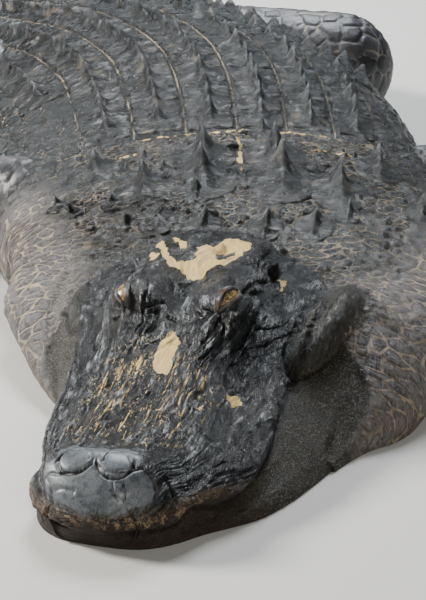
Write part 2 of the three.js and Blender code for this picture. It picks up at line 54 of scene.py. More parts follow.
# Studio: a plain pale floor under a dim pale sky, one broad lamp high on the left, a cool one behind the animal for
# the sheen of its wet back, and a weak one low in front that opens the shadows under the jaw.
floor_size = 30
floor_mesh = bmesh.new()
bmesh.ops.create_grid(floor_mesh, x_segments=1, y_segments=1, size=floor_size / 2)
bmesh.ops.translate(floor_mesh, verts=floor_mesh.verts, vec=(0, 0, -0.0005))
floor = bpy.data.objects.new("floor", bpy.data.meshes.new("floor"))
floor_mesh.to_mesh(floor.data)
floor_mesh.free()
bpy.context.scene.collection.objects.link(floor)

floor_paint = bpy.data.materials.new("pale_floor")
floor_paint.use_nodes = True
floor_shader = floor_paint.node_tree.nodes["Principled BSDF"]
floor_shader.inputs["Base Color"].default_value = (0.62, 0.61, 0.58, 1)
floor_shader.inputs["Roughness"].default_value = 0.75
floor.data.materials.append(floor_paint)


def area_lamp(name, place_at, aim, size, power, colour):
    lamp = bpy.data.objects.new(name, bpy.data.lights.new(name, "AREA"))
    lamp.data.shape = "DISK"
    lamp.data.size = size
    lamp.data.energy = power
    lamp.data.color = colour
    lamp.location = place_at
    lamp.rotation_mode = "QUATERNION"
    lamp.rotation_quaternion = (Vector(aim) - Vector(place_at)).to_track_quat("-Z", "Y")
    bpy.context.scene.collection.objects.link(lamp)


area_lamp("key_lamp", (-2.7, 0.3, 2.1), (0.4, -0.5, 0.1), 0.9, 380, (1.0, 0.97, 0.93))
area_lamp("sheen_lamp", (1.0, 2.4, 3.2), (0.5, 0.0, 0.1), 1.6, 210, (0.9, 0.95, 1.0))
area_lamp("front_lamp", (1.6, -4.0, 1.6), (0.5, -0.8, 0.1), 1.6, 60, (1.0, 0.96, 0.9))

sky = bpy.data.worlds.new("pale_sky")
sky.use_nodes = True
sky.node_tree.nodes["Background"].inputs["Color"].default_value = (0.86, 0.92, 1.0, 1)
sky.node_tree.nodes["Background"].inputs["Strength"].default_value = 0.09
bpy.context.scene.world = sky

# The camera stands some 1.6 m before the snout and looks down on the head and along the back.
camera_place = (0.7623, -2.6058, 0.914)
camera_down = 21.8
camera = bpy.data.objects.new("camera", bpy.data.cameras.new("camera"))
camera.data.lens = 108
camera.data.sensor_width = 36
camera.location = camera_place
camera.rotation_euler = (math.radians(90 - camera_down), 0, 0)
bpy.context.scene.collection.objects.link(camera)
bpy.context.scene.camera = camera


# Skin: one hide over the whole animal from the snout to the tip of the tail, leathery, wet and nearly black, bare of
# plates on the head, netted with pale seams on the neck and flanks, and belted with square scales round the tail. It
# is given along the spine from the snout, and across from the middle of the back, so that every fold follows it.
def profile(*points):
    """A smooth curve through (distance, value) points that never overshoots them."""
    at, value = np.array(points, float).T
    slopes = np.diff(value) / np.diff(at)
    product = slopes[:-1] * slopes[1:]
    total = np.where(product > 0, slopes[:-1] + slopes[1:], 1)
    inner = np.where(product > 0, 2 * product / total, 0)
    tangents = np.concatenate([slopes[:1], inner, slopes[-1:]])

    def curve(x):
        x = np.clip(x, at[0], at[-1])
        i = np.clip(np.searchsorted(at, x, side="right") - 1, 0, len(slopes) - 1)
        span = at[i + 1] - at[i]
        t = (x - at[i]) / span
        ends = value[i] * (2 * t**3 - 3 * t**2 + 1) + value[i + 1] * (3 * t**2 - 2 * t**3)
        return ends + span * (tangents[i] * (t**3 - 2 * t**2 + t) + tangents[i + 1] * (t**3 - t**2))

    return curve


total_length = 3.6
box_middle = (-0.6363, 1.0058)
heading = profile(
    (0.506, 16.4), (0.6, 8.5), (0.69, -1), (0.9, -4), (1.08, -9), (1.2, -17), (1.4, -31), (1.6, -44), (1.8, -54),
    (2.3, -73), (3.0, -98), (3.6, -118),
)
spine_step = 0.005
spine_turns = np.radians(heading(np.arange(0, total_length + spine_step, spine_step) + spine_step / 2))
spine_steps = spine_step * np.stack([np.sin(spine_turns), np.cos(spine_turns)], axis=1)
spine = np.concatenate([[[0, 0]], np.cumsum(spine_steps, axis=0)])
lean_at = profile((0, 0.07), (0.44, 0.07), (0.64, 0))
lean_reach = 0.16
sag = profile(
    (0, -0.002), (0.05, -0.008), (0.12, -0.034), (0.33, -0.042), (0.47, -0.02), (0.56, 0), (0.9, 0.058),
    (1.3, 0.064), (1.6, 0.026), (1.8, 0),
)
sag_top = profile((0, 0.08), (0.47, 0.11), (0.62, 0.23))


def place(along, left, up):
    """The place in the frame of points given along the spine, out to the animal's left, and up."""
    along, left, up = np.broadcast_arrays(along, left, up)
    clamped = np.clip(along, 0, total_length)
    turn = np.radians(heading(clamped))
    steps = np.arange(len(spine)) * spine_step
    beyond = along - clamped
    x = np.interp(clamped, steps, spine[:, 0]) + beyond * np.sin(turn)
    y = np.interp(clamped, steps, spine[:, 1]) + beyond * np.cos(turn)
    lean = lean_at(clamped)
    out = left - lean * up - sag(clamped) * np.maximum(1 - up / sag_top(clamped), 0)
    east, north = x + out * np.cos(turn) - box_middle[0], y - out * np.sin(turn) - box_middle[1]
    return np.stack([east, north, up * (1 + lean * left / lean_reach)], axis=-1)


blocks = [
    dict(
        start=0, end=0.64, under=4, squareness=profile((0, 2.2), (1, 2.2)),
        width=profile(
            (0, 0.079), (0.07, 0.09), (0.134, 0.118), (0.198, 0.138), (0.26, 0.15), (0.326, 0.158), (0.43, 0.178),
            (0.52, 0.182), (0.64, 0.12),
        ),
        top=profile(
            (0, 0.058), (0.06, 0.068), (0.2, 0.08), (0.3, 0.104), (0.37, 0.132), (0.43, 0.147), (0.5, 0.142),
            (0.64, 0.084),
        ),
        middle=profile((0, 0.032), (0.15, 0.03), (0.33, 0.038), (0.48, 0.056)),
    ),
    dict(
        start=0.04, end=0.64, under=4, squareness=profile((0, 2.4), (1, 2.4)),
        width=profile(
            (0.04, 0.07), (0.09, 0.104), (0.156, 0.134), (0.216, 0.15), (0.26, 0.162), (0.312, 0.182),
            (0.345, 0.196), (0.43, 0.204), (0.52, 0.19), (0.64, 0.12),
        ),
        top=profile(
            (0.04, 0.01), (0.09, 0.02), (0.156, 0.034), (0.216, 0.048), (0.26, 0.06), (0.312, 0.075),
            (0.345, 0.086), (0.43, 0.112), (0.52, 0.116), (0.64, 0.08),
        ),
        middle=profile((0.04, 0.008), (0.156, 0.016), (0.26, 0.022), (0.345, 0.034), (0.43, 0.05)),
    ),
    dict(
        start=0, end=0.58, under=3.2, squareness=profile((0, 3.2), (1, 3.2)),
        width=profile(
            (0, 0.066), (0.08, 0.07), (0.17, 0.087), (0.24, 0.088), (0.3, 0.084), (0.49, 0.084), (0.58, 0.04),
        ),
        top=profile(
            (0, 0.08), (0.05, 0.084), (0.085, 0.08), (0.17, 0.088), (0.24, 0.103), (0.3, 0.125), (0.36, 0.15),
            (0.44, 0.172), (0.492, 0.176), (0.52, 0.16), (0.58, 0.116),
        ),
        middle=profile((0, 0.042), (0.2, 0.046), (0.33, 0.07), (0.45, 0.092)),
    ),
    dict(
        start=0.24, end=total_length, under=3.4,
        squareness=profile((0.6, 2.3), (1.0, 1.75), (1.25, 1.6), (1.6, 1.7), (2.1, 2.2)),
        width=profile(
            (0.24, 0.15), (0.29, 0.176), (0.33, 0.214), (0.4, 0.256), (0.47, 0.288), (0.6, 0.3), (1.0, 0.316),
            (1.25, 0.33), (1.45, 0.318), (1.62, 0.272), (1.8, 0.214), (2.2, 0.13), (3.0, 0.062), (3.6, 0.014),
        ),
        top=profile(
            (0.24, 0.014), (0.33, 0.056), (0.4, 0.098), (0.45, 0.118), (0.52, 0.138), (0.65, 0.184), (0.85, 0.214),
            (1.25, 0.25), (1.45, 0.253), (1.77, 0.224), (2.2, 0.178), (3.0, 0.108), (3.6, 0.028),
        ),
        middle=profile(
            (0.24, 0.008), (0.33, 0.024), (0.4, 0.044), (0.5, 0.066), (0.8, 0.1), (1.3, 0.11), (1.77, 0.098),
            (2.6, 0.062), (3.6, 0.012),
        ),
    ),
]
ray_origin = profile(
    (0, 0.046), (0.2, 0.05), (0.42, 0.08), (0.8, 0.1), (1.3, 0.11), (1.77, 0.098), (2.6, 0.062), (3.6, 0.012),
)
block_crease = 16
sink = 0.022
snout_round = 0.062
tail_round = 0.03
head_end = 0.562


def block_levels(s, b, z):
    """For each block, below 1 inside its part of the section at s and above 1 outside it."""
    nearest = np.clip(np.minimum(s / snout_round, (total_length - s) / tail_round), 0, 1)
    end = np.sqrt(np.maximum(1 - (1 - nearest) ** 2, 1e-5))
    levels = []
    for block in blocks:
        middle = block["middle"](s)
        above = z > middle
        reach = np.where(above, block["top"](s) - middle, middle + sink) * end
        n = np.where(above, block["squareness"](s), block["under"])
        level = ((np.abs(b) / (block["width"](s) * end)) ** n + (np.abs(z - middle) / reach) ** n) ** (1 / n)
        within = (s >= block["start"]) & (s <= block["end"])
        levels.append(np.where(within, np.maximum(level, 0.01), 9))
    return levels


def section_field(s, b, z):
    """Below 1 inside the section at s, above 1 outside it."""
    return sum(level ** -float(block_crease) for level in block_levels(s, b, z)) ** (-1 / block_crease)


def mound(*offsets):
    """1 where all the offsets are 0, and next to nothing where one of them is past 2."""
    return np.exp(-sum(offset**2 for offset in offsets))


def head_relief(s, b):
    """Low relief of the head: ridges before the eyes, the rim and the two pits of the skull table."""
    def hill(at, side, length, width):
        return mound((s - at) / length, (np.abs(b) - side) / width)

    return (
        0.006 * hill(0.235, 0.044, 0.06, 0.011) + 0.004 * hill(0.12, 0.036, 0.04, 0.014)
        + 0.004 * hill(0.452, 0.062, 0.036, 0.01) - 0.007 * hill(0.352, 0, 0.036, 0.024)
        - 0.008 * hill(0.44, 0.028, 0.015, 0.012) + 0.005 * hill(0.04, 0, 0.022, 0.04)
    )


ray_count = 220


def half_sections(s):
    """For each place s, one side of its section from the middle of the back to the belly: out, up, running length."""
    s = np.asarray(s, float)[:, None]
    angle = np.pi / 2 - np.pi * np.arange(ray_count + 1)[None, :] / ray_count
    origin = ray_origin(s)
    low = np.zeros((len(s), ray_count + 1))
    high = low + 0.6
    for _ in range(22):
        radius = (low + high) / 2
        inside = section_field(s, radius * np.cos(angle), origin + radius * np.sin(angle)) < 1
        low, high = np.where(inside, radius, low), np.where(inside, high, radius)
    b = np.maximum(low * np.cos(angle), 0)
    z = origin + low * np.sin(angle)
    rise = head_relief(s, b) * np.clip((z - origin) / 0.04, 0, 1)
    z = np.maximum(np.where(s < head_end, z + rise, z), 0)
    run = np.concatenate([np.zeros((len(s), 1)), np.cumsum(np.hypot(np.diff(b), np.diff(z)), axis=1)], axis=1)
    return b, z, run


def flat_edges(z, run):
    """How far down each side reaches before it lies flat on the floor."""
    on_floor = (z <= 0) & (run > 0)
    first = np.where(on_floor.any(axis=1), on_floor.argmax(axis=1), run.shape[1] - 1)
    return run[np.arange(len(run)), first]


def scatter(*keys):
    """A fixed random number from 0 to 1 for each set of whole numbers."""
    primes = (374761393, 668265263, 2246822519, 3266489917)
    mixed = np.int64(0)
    with np.errstate(over="ignore"):
        for key, prime in zip(keys, primes):
            mixed = mixed + np.asarray(key, np.int64) * prime
        mixed = (mixed ^ (mixed >> 13)) * 1274126177
    mixed = mixed ^ (mixed >> 16)
    return (mixed & 0xFFFFFF) / 0xFFFFFF


def drift(x, y, z, seed=0, layers=1):
    """Smooth noise from -1 to 1 over lattice cells of size 1, with finer layers at half the size and strength."""
    total, strength = 0, 1
    x, y, z = np.broadcast_arrays(x, y, z)
    for layer in range(layers):
        corner = [np.floor(c).astype(np.int64) for c in (x, y, z)]
        part = [c - k for c, k in zip((x, y, z), corner)]
        ease_in = [p * p * (3 - 2 * p) for p in part]
        value = 0
        for dx, dy, dz in np.ndindex(2, 2, 2):
            share = 1
            for d, e in zip((dx, dy, dz), ease_in):
                share = share * (e if d else 1 - e)
            value = value + share * scatter(corner[0] + dx, corner[1] + dy, corner[2] + dz, seed + layer)
        total = total + strength * (2 * value - 1)
        strength /= 2
        x, y, z = 2 * x + 7.3, 2 * y + 1.7, 2 * z + 4.1
    return total


def ease(low, high, x):
    """0 up to low, 1 from high on, and a smooth rise between."""
    t = np.clip((x - low) / (high - low), 0, 1)
    return t * t * (3 - 2 * t)


def cells(u, v, seed, jitter=0.4, row=1.0):
    """Scales on a staggered lattice: the distance in from the nearest seam, and each scale's own random number."""
    nearest, second, own = np.full(u.shape, 9.0), np.full(u.shape, 9.0), np.zeros(u.shape)
    reach = 1 if row > 0.8 else 2
    for dv in range(-reach, reach + 1):
        line = np.floor(v) + dv
        shift = 0.5 * (line % 2)
        for du in (-1, 0, 1):
            column = np.floor(u - shift) + du
            cu = column + shift + 0.5 + jitter * (scatter(column, line, seed) - 0.5)
            cv = line + 0.5 + jitter * (scatter(column, line, seed + 1) - 0.5)
            away = np.hypot(u - cu, row * (v - cv))
            closer = away < nearest
            second = np.where(closer, nearest, np.minimum(second, away))
            own = np.where(closer, scatter(column, line, seed + 2), own)
            nearest = np.minimum(nearest, away)
    return (second - nearest) / 2, own


head_turn = -math.radians(float(heading(0)))
sides = {"left": 1, "right": -1}


def head_axes(turn, pitch=0):
    """Unit vectors along the head to the rear, across to its left and up, for a form turned and pitched on it."""
    c, s = math.cos(turn), math.sin(turn)
    across = np.array([c, s, 0])
    along = np.array([-s * math.cos(pitch), c * math.cos(pitch), math.sin(pitch)])
    return along, across, np.cross(across, along)


tiny = 1e-9  # keeps a division by zero off


def form_rise(points, normals, sign, at, side, height, sizes, turn=0, pitch=0):
    """How far out of the hide an ellipsoid stands along the hide's normals, how deep in it each point lies, and the
    shares of its half sizes at which the point lies from its centre."""
    axes = head_axes(head_turn + sign * turn, pitch)
    offset = points - place(at, sign * side, height)
    p = np.stack([offset @ axis / size for axis, size in zip(axes, sizes)], axis=-1)
    n = np.stack([normals @ axis / size for axis, size in zip(axes, sizes)], axis=-1)
    a, half_b, c = (n * n).sum(-1), (n * p).sum(-1), (p * p).sum(-1) - 1
    root = np.sqrt(np.maximum(half_b**2 - a * c, 0))
    return np.where(c < 0, (root - half_b) / np.maximum(a, tiny), 0), np.sqrt(c + 1), p


mouth_corner = 0.43
mouth_line = profile(
    (0, 0.021), (0.034, 0.02), (0.062, 0.03), (0.088, 0.022), (0.15, 0.036), (0.212, 0.054), (0.316, 0.078),
    (0.372, 0.097), (mouth_corner, 0.112),
)
lip_inset = profile((0, 0.005), (0.37, 0.005), (mouth_corner, 0))
eye = dict(at=0.336, side=0.058, height=0.141, radius=0.02)
eye_ahead = math.radians(46)
eye_lift = math.radians(56)
eye_tilt = math.radians(30)
eye_half_length = math.radians(72)
eye_half_height = math.radians(23)


def eye_axes(sign):
    """Unit vectors of an eye: out through its opening, along the slit to its raised rear corner, and across it."""
    along, across, up = head_axes(head_turn)
    out = sign * across * math.cos(eye_ahead) - along * math.sin(eye_ahead)
    rear = along * math.cos(eye_ahead) + sign * across * math.sin(eye_ahead)
    high = up * math.cos(eye_lift) - out * math.sin(eye_lift)
    facing = out * math.cos(eye_lift) + up * math.sin(eye_lift)
    slit = rear * math.cos(eye_tilt) + high * math.sin(eye_tilt)
    return facing, slit, high * math.cos(eye_tilt) - rear * math.sin(eye_tilt)


def eye_gap(points, sign):
    """How far points lie outside the opening of an eye, as an angle seen from its middle, and their distance out."""
    offset = points - place(eye["at"], sign * eye["side"], eye["height"])
    facing, slit, across_slit = eye_axes(sign)
    reach = np.linalg.norm(offset, axis=-1)
    length = np.arctan2(offset @ slit, offset @ facing) / eye_half_length
    height = np.arcsin(np.clip(offset @ across_slit / np.maximum(reach, 1e-6), -1, 1))
    half_height = eye_half_height * np.maximum(1 - 0.7 * length**2, 0.25)
    share = np.maximum(np.hypot(length, height / half_height), 1e-6)
    steepness = np.hypot(length / eye_half_length, height / half_height**2) / share
    return (share - 1) / np.maximum(steepness, 1e-6), reach


def smoothed(grid, passes):
    """A grid of values with each averaged with its neighbours along both of its directions."""
    for _ in range(passes):
        for axis in (0, 1):
            before, after = np.roll(grid, 1, axis), np.roll(grid, -1, axis)
            edge = [slice(None)] * 2
            edge[axis] = 0
            before[tuple(edge)] = grid[tuple(edge)]
            edge[axis] = -1
            after[tuple(edge)] = grid[tuple(edge)]
            grid = (before + 2 * grid + after) / 4
    return grid


# Forms that swell out of the head, each given along, out and up with its half sizes in the same order.
brow = dict(at=0.342, side=0.056, length=0.046, width=0.034, rise=0.029)
nostril_valve = dict(at=0.042, side=0.021, height=0.077, sizes=(0.02, 0.02, 0.0095), turn=0.35)
ear_flap = dict(at=0.455, side=0.088, height=0.154, sizes=(0.054, 0.011, 0.014))
jaw_muscle = dict(at=0.396, side=0.156, height=0.098, sizes=(0.086, 0.025, 0.026), turn=-0.23, pitch=0.25)
valve_groove, muscle_groove, flap_groove = 0.003, 0.006, 0.0012
flat_muscle = 0.15  # the share of the muscle's swelling on the animal's right, where its outline is nearly straight


def head_forms(points, normals, s, q):
    """Brows, nostril valves, ear flaps and jaw muscles standing out of the hide, and the grooves that bound them."""
    rise, groove, lens = (np.zeros(points.shape[:-1]) for _ in range(3))
    for sign in sides.values():
        over_eye = brow["rise"] * mound((s - brow["at"]) / brow["length"], (sign * q - brow["side"]) / brow["width"])
        valve, _, valve_shares = form_rise(points, normals, sign, **nostril_valve)
        flap, _, flap_shares = form_rise(points, normals, sign, **ear_flap)
        muscle, muscle_level, muscle_shares = form_rise(points, normals, sign, **jaw_muscle)
        valve = 0.2 * valve * ease(0.9, 0.1, valve_shares[..., 0])
        if sign < 0:
            muscle, muscle_level = flat_muscle * muscle, muscle_level + 0.6
        rise = np.maximum.reduce([rise, over_eye, smoothed(valve, 6), smoothed(flap, 14), smoothed(muscle, 5)])
        lens = np.maximum(lens, ease(1.02, 0.9, muscle_level))
        plan = np.hypot(valve_shares[..., 0], valve_shares[..., 1])
        front = ease(0.5, -0.1, valve_shares[..., 0]) * (np.abs(valve_shares[..., 2]) < 2.5)
        groove = groove + valve_groove * mound((plan - 0.98) / 0.08) * front
        around_front = ease(0.7, -0.3, muscle_shares[..., 0])
        groove = groove + muscle_groove * mound((muscle_level - 1.08) / 0.07) * around_front
        below_flap = mound((flap_shares[..., 2] + 1) / 0.3) * (np.abs(flap_shares[..., 0]) < 1)
        groove = groove + flap_groove * below_flap * (np.abs(flap_shares[..., 1]) < 2.2)
    return rise, groove, lens


def near_line(s, q, line, reach):
    """Which points lie within reach of the box around a line."""
    (low_s, low_q), (high_s, high_q) = np.min(line, axis=0) - reach, np.max(line, axis=0) + reach
    return (s > low_s) & (s < high_s) & (q > low_q) & (q < high_q)


def line_distance(s, q, line):
    """How far points lie from a line of straight stretches."""
    away = np.full(s.shape, 1.0)
    for (s0, q0), (s1, q1) in zip(line, line[1:]):
        span = (s1 - s0) ** 2 + (q1 - q0) ** 2
        t = np.clip(((s - s0) * (s1 - s0) + (q - q0) * (q1 - q0)) / span, 0, 1)
        away = np.minimum(away, np.hypot(s - s0 - t * (s1 - s0), q - q0 - t * (q1 - q0)))
    return away


# Each crease of the head: its depth, its half width, and where it runs along the spine and across the hide.
creases = [
    (0.004, 0.002, [(0.404, 0.08), (0.425, 0.079), (0.447, 0.078), (0.479, 0.079)]),
    (0.005, 0.003, [(0.404, 0.08), (0.428, 0.1), (0.468, 0.113), (0.503, 0.11), (0.527, 0.093)]),
    (0.0045, 0.0024, [(0.404, 0.08), (0.361, 0.068), (0.342, 0.06), (0.324, 0.056), (0.303, 0.054), (0.276, 0.046)]),
    (0.003, 0.002, [(0.385, 0.081), (0.364, 0.083), (0.327, 0.074), (0.311, 0.066)]),
    (0.005, 0.003, [(0.376, 0.096), (0.348, 0.092), (0.328, 0.088), (0.302, 0.085)]),
    (0.003, 0.002, [(0.392, 0.108), (0.36, 0.106), (0.33, 0.1), (0.31, 0.1)]),
    (0.004, 0.0022, [(0.388, 0.017), (0.367, 0.016), (0.34, 0.021), (0.306, 0.041)]),
    (0.003, 0.002, [(0.4, 0.041), (0.355, 0.053)]),
    (0.003, 0.002, [(0.328, 0.027), (0.308, 0.028), (0.28, 0.047)]),
    (0.004, 0.003, [(0.316, -0.006), (0.312, 0.007), (0.319, 0.01)]),
    (0.004, 0.0024, [
        (0.396, -0.042), (0.376, -0.023), (0.356, -0.015), (0.336, -0.014), (0.321, -0.028), (0.317, -0.038),
        (0.326, -0.044)]),
    (0.004, 0.0024, [(0.321, -0.019), (0.3, -0.027), (0.283, -0.031)]),
    (0.004, 0.0024, [(0.301, -0.045), (0.308, -0.034), (0.318, -0.021)]),
    (0.004, 0.0024, [(0.345, -0.08), (0.326, -0.068), (0.309, -0.062), (0.296, -0.06)]),
    (0.003, 0.003, [(0.404, -0.08), (0.428, -0.1), (0.468, -0.113), (0.503, -0.11)]),
    (0.0022, 0.0014, [
        (0.028, -0.056), (0.024, -0.034), (0.026, -0.009), (0.034, 0.0), (0.028, 0.016), (0.029, 0.029),
        (0.037, 0.044), (0.044, 0.051)]),
    (0.0015, 0.0014, [(0.037, -0.006), (0.052, -0.007), (0.059, -0.019), (0.052, -0.034), (0.037, -0.044)]),
    (0.002, 0.0014, [(0.037, 0.01), (0.054, 0.011), (0.062, 0.019), (0.055, 0.032), (0.04, 0.043)]),
    (0.0014, 0.0011, [(0.02, 0.026), (0.012, 0.028), (0.01, 0.035), (0.013, 0.041), (0.02, 0.037), (0.021, 0.03)]),
    (0.003, 0.0018, [(0.044, 0.051), (0.041, 0.061), (0.04, 0.075), (0.03, 0.077), (0.02, 0.071)]),
    (0.002, 0.0014, [(0.028, -0.056), (0.016, -0.046), (0.008, -0.014)]),
    (0.003, 0.002, [(0.059, 0.074), (0.052, 0.085), (0.045, 0.095)]),
    (0.003, 0.006, [(0.479, 0.211), (0.43, 0.213), (0.403, 0.217), (0.342, 0.216), (0.3, 0.202), (0.254, 0.201)]),
    (0.003, 0.006, [(0.479, -0.211), (0.43, -0.213), (0.403, -0.217), (0.342, -0.216), (0.3, -0.202)]),
]


crease_share = 0.7  # of the depths above


def crease_depth(s, q):
    """How deep the creases of the head are at each point of the hide."""
    depth = np.zeros(s.shape)
    waver = 0.0016 * drift(s / 0.012, q / 0.012, 0.5, 7)
    for deep, half_width, line in creases:
        near = near_line(s, q, line, 4 * half_width)
        away = line_distance(s[near] + waver[near], q[near] + waver[near], line)
        depth[near] = np.maximum(depth[near], crease_share * deep * mound(away / half_width))
    return depth


# Each pale patch of bare bone-coloured skin: its outline along the spine and across the hide. The outlines under pits
# are dark again inside the patches.
patches = [
    [
        (0.4, -0.019), (0.404, -0.01), (0.416, -0.002), (0.44, -0.004), (0.448, 0.004), (0.444, 0.017), (0.432, 0.016),
        (0.415, 0.022), (0.408, 0.031), (0.392, 0.022), (0.38, 0.021), (0.376, 0.011), (0.38, -0.001), (0.388, -0.009)],
    [
        (0.444, 0.012), (0.464, 0.021), (0.472, 0.036), (0.468, 0.053), (0.448, 0.057), (0.425, 0.05), (0.404, 0.038),
        (0.4, 0.02)],
    [
        (0.408, -0.006), (0.388, -0.01), (0.4, -0.03), (0.424, -0.045), (0.449, -0.063), (0.472, -0.074),
        (0.48, -0.066), (0.461, -0.056), (0.43, -0.04), (0.408, -0.023)],
    [(0.442, -0.072), (0.428, -0.05), (0.408, -0.046), (0.417, -0.058)],
    [(0.473, -0.046), (0.456, -0.024), (0.444, -0.021), (0.455, -0.036)],
    [
        (0.294, 0.006), (0.278, 0.02), (0.256, 0.019), (0.228, 0.019), (0.228, 0.005), (0.236, -0.001),
        (0.256, -0.007), (0.276, -0.005)],
    [(0.443, 0.109), (0.444, 0.117), (0.415, 0.114), (0.411, 0.11)],
    [(0.225, 0.09), (0.234, 0.099), (0.221, 0.104), (0.21, 0.096)],
    [(0.376, -0.088), (0.38, -0.076), (0.362, -0.068), (0.352, -0.074), (0.358, -0.084)],
    [(0.812, -0.14), (0.8135, -0.02), (0.8135, 0.06), (0.811, 0.15), (0.8095, 0.05), (0.8095, -0.03)],
    [(0.748, -0.2), (0.7615, -0.15), (0.756, -0.1), (0.758, -0.15)],
    [(0.748, 0.2), (0.7615, 0.15), (0.756, 0.1), (0.758, 0.15)],
    [(0.69, 0), (0.72, -0.005), (0.755, -0.001), (0.8, -0.002), (0.8, 0.001), (0.755, 0.003), (0.72, 0.004)],
]
pits = [
    [(0.414, 0.024), (0.428, 0.021), (0.44, 0.028), (0.442, 0.042), (0.428, 0.043), (0.415, 0.036)],
    [(0.444, -0.05), (0.444, -0.03), (0.424, -0.008), (0.404, -0.021)],
]


patch_fade = 0.008


def outline_field(s, q, outline):
    """Above 0 inside an outline and below 0 outside, by the distance to it over the fade."""
    field = np.full(s.shape, -1.0)
    near = near_line(s, q, outline, patch_fade)
    along, across = s[near], q[near]
    inside = np.zeros(along.shape, bool)
    closed = outline + outline[:1]
    for (s0, q0), (s1, q1) in zip(closed, closed[1:]):
        if q0 != q1:
            inside ^= ((across < q0) != (across < q1)) & (along < s0 + (across - q0) * (s1 - s0) / (q1 - q0))
    away = line_distance(along, across, closed)
    field[near] = np.clip(np.where(inside, away, -away) / patch_fade, -1, 1)
    return field


def patch_field(s, q):
    """Above 0 inside the pale patches and outside their pits."""
    pale = np.maximum.reduce([outline_field(s, q, outline) for outline in patches])
    pit = np.maximum.reduce([outline_field(s, q, outline) for outline in pits])
    return np.minimum(pale, np.where(pit > -0.9, -pit, pale))


row_pitch = 0.057
first_row = 0.852
column_width = profile((0.84, 0.07), (1.1, 0.076), (1.5, 0.074), (1.8, 0.054), (1.88, 0.046))
tail_pitch = profile((1.9, 0.056), (2.6, 0.05), (3.2, 0.042), (3.6, 0.03))
tail_rows = [1.912]
while tail_rows[-1] < total_length:
    tail_rows.append(tail_rows[-1] + float(tail_pitch(tail_rows[-1])))
belt_rows = np.array([first_row + row_pitch * (i - 6) for i in range(25)] + tail_rows[1:])
plated_half = profile(
    (0.6, 0.15), (0.84, 0.19), (1.1, 0.26), (1.4, 0.31), (1.6, 0.19), (1.8, 0.12), (2.2, 0.05), (3.6, 0.01),
)
net_length, net_width = 0.018, 0.022
flank_width, flank_mean = 0.027, 0.028
bead_length, bead_width, bead_mean = 0.0115, 0.015, 0.013
belt_length, tail_scale = 0.05, 0.034
belt_seam_limit = 0.0014  # keeps the seams between belts dark, because the rows of the mesh are too coarse for them


# Wrinkles of the head: length and width, how far they waver along and across, and the number of their noise.
head_streaks = (0.03, 0.0034, 1.2, 2.2, 21)
head_folds = (0.085, 0.0105, 0.6, 1.6, 31)
head_lumps = (0.02, 0.013, 0.4, 0.4, 41)
wrinkle_fan = 0.21  # half the width over which the wrinkles of the head are spread, wherever it is wider or narrower
mouth_depth, mouth_half_width, lip_rise = 0.006, 0.0026, 0.0014


def head_detail(s, q, left, z, edge, wobble):
    """The fine relief of the head, and the fields its colours follow."""
    fan = wrinkle_fan * q / np.maximum(edge, tiny)
    off_line = z - mouth_line(s)
    beside_mouth = ease(0.45, 0.42, s) * ease(0.02, 0.05, s + np.abs(left))
    below_mouth = ease(0.002, -0.004, off_line) * ease(0.46, 0.43, s)
    jaw = np.maximum(below_mouth, ease(0.36, 0.4, s) * ease(0.16, 0.19, np.abs(q) - 0.06 * (q < 0)))
    rim = ease(0.048, 0.036, z + 0.1 * np.maximum(s - 0.05, 0)) * ease(0.16, 0.06, s)

    # The snout's shield is smooth but for its engraved lines; everything behind it is wrinkled along the head.
    torn = drift(s / 0.008, q / 0.008, z / 0.008, 53, 2)
    off_middle = np.abs(q - 0.008)
    shield = ease(0.054, 0.034, s + 0.12 * np.maximum(off_middle - 0.045, 0)) * ease(0.03, 0.054, z + 0.008 * torn)
    shield = shield * ease(0.08, 0.064, off_middle + 0.004 * torn)
    streak, fold, lump = (
        drift(s / length + along * wobble, fan / width + across * wobble, 0.5, seed, 2)
        for length, width, along, across, seed in (head_streaks, head_folds, head_lumps)
    )
    fold = 1 - 2 * np.abs(fold)
    knob = drift(s / 0.008, q / 0.008, z / 0.012, 51, 2)
    round_eyes = mound((s - 0.33) / 0.07, (np.abs(q) - 0.06) / 0.07)
    behind_nose = mound((s - 0.11) / 0.05)
    nostrils = ease(0.082, 0.058, s + 0.008 * torn) * ease(0.054, 0.038, np.abs(q)) * ease(0.045, 0.05, z)
    smooth = np.maximum(shield, nostrils)

    # Each height is in metres, with what it gains around the eyes.
    wrinkled = (1 - smooth) * (1 - 0.75 * jaw)
    height = wrinkled * (
        (0.0009 + 0.0003 * round_eyes) * streak
        - (0.0011 + 0.0014 * round_eyes) * ease(0.55, 0.97, fold)
        + (0.0009 + 0.001 * round_eyes) * lump
        + 0.0007 * behind_nose * knob
    )
    height = height + 0.0005 * knob * (jaw + rim) * (1 - smooth)

    # The mouth: a groove along the jaw, painted dark as shade, with a full lip above it and the lower jaw tucked in
    # below.
    line_depth = mound(off_line / mouth_half_width) * beside_mouth
    lip = lip_rise * mound((off_line - 0.009) / 0.006) * beside_mouth
    tucked = lip_inset(s) * np.clip(z / 0.025, 0, 1) * ease(0.001, -0.003, off_line)
    # Painted light: the hide's colour follows this field, painted darker as shade in the hollows of the relief and
    # lighter as highlight on its ridges.
    relief_shading = np.clip(0.5 + 230 * (height + 0.0003), 0, 1)
    height = height - mouth_depth * line_depth + lip - tucked
    return height, dict(relief_shading=relief_shading, smooth=smooth, jaw=jaw, rim=rim, mouth=line_depth)


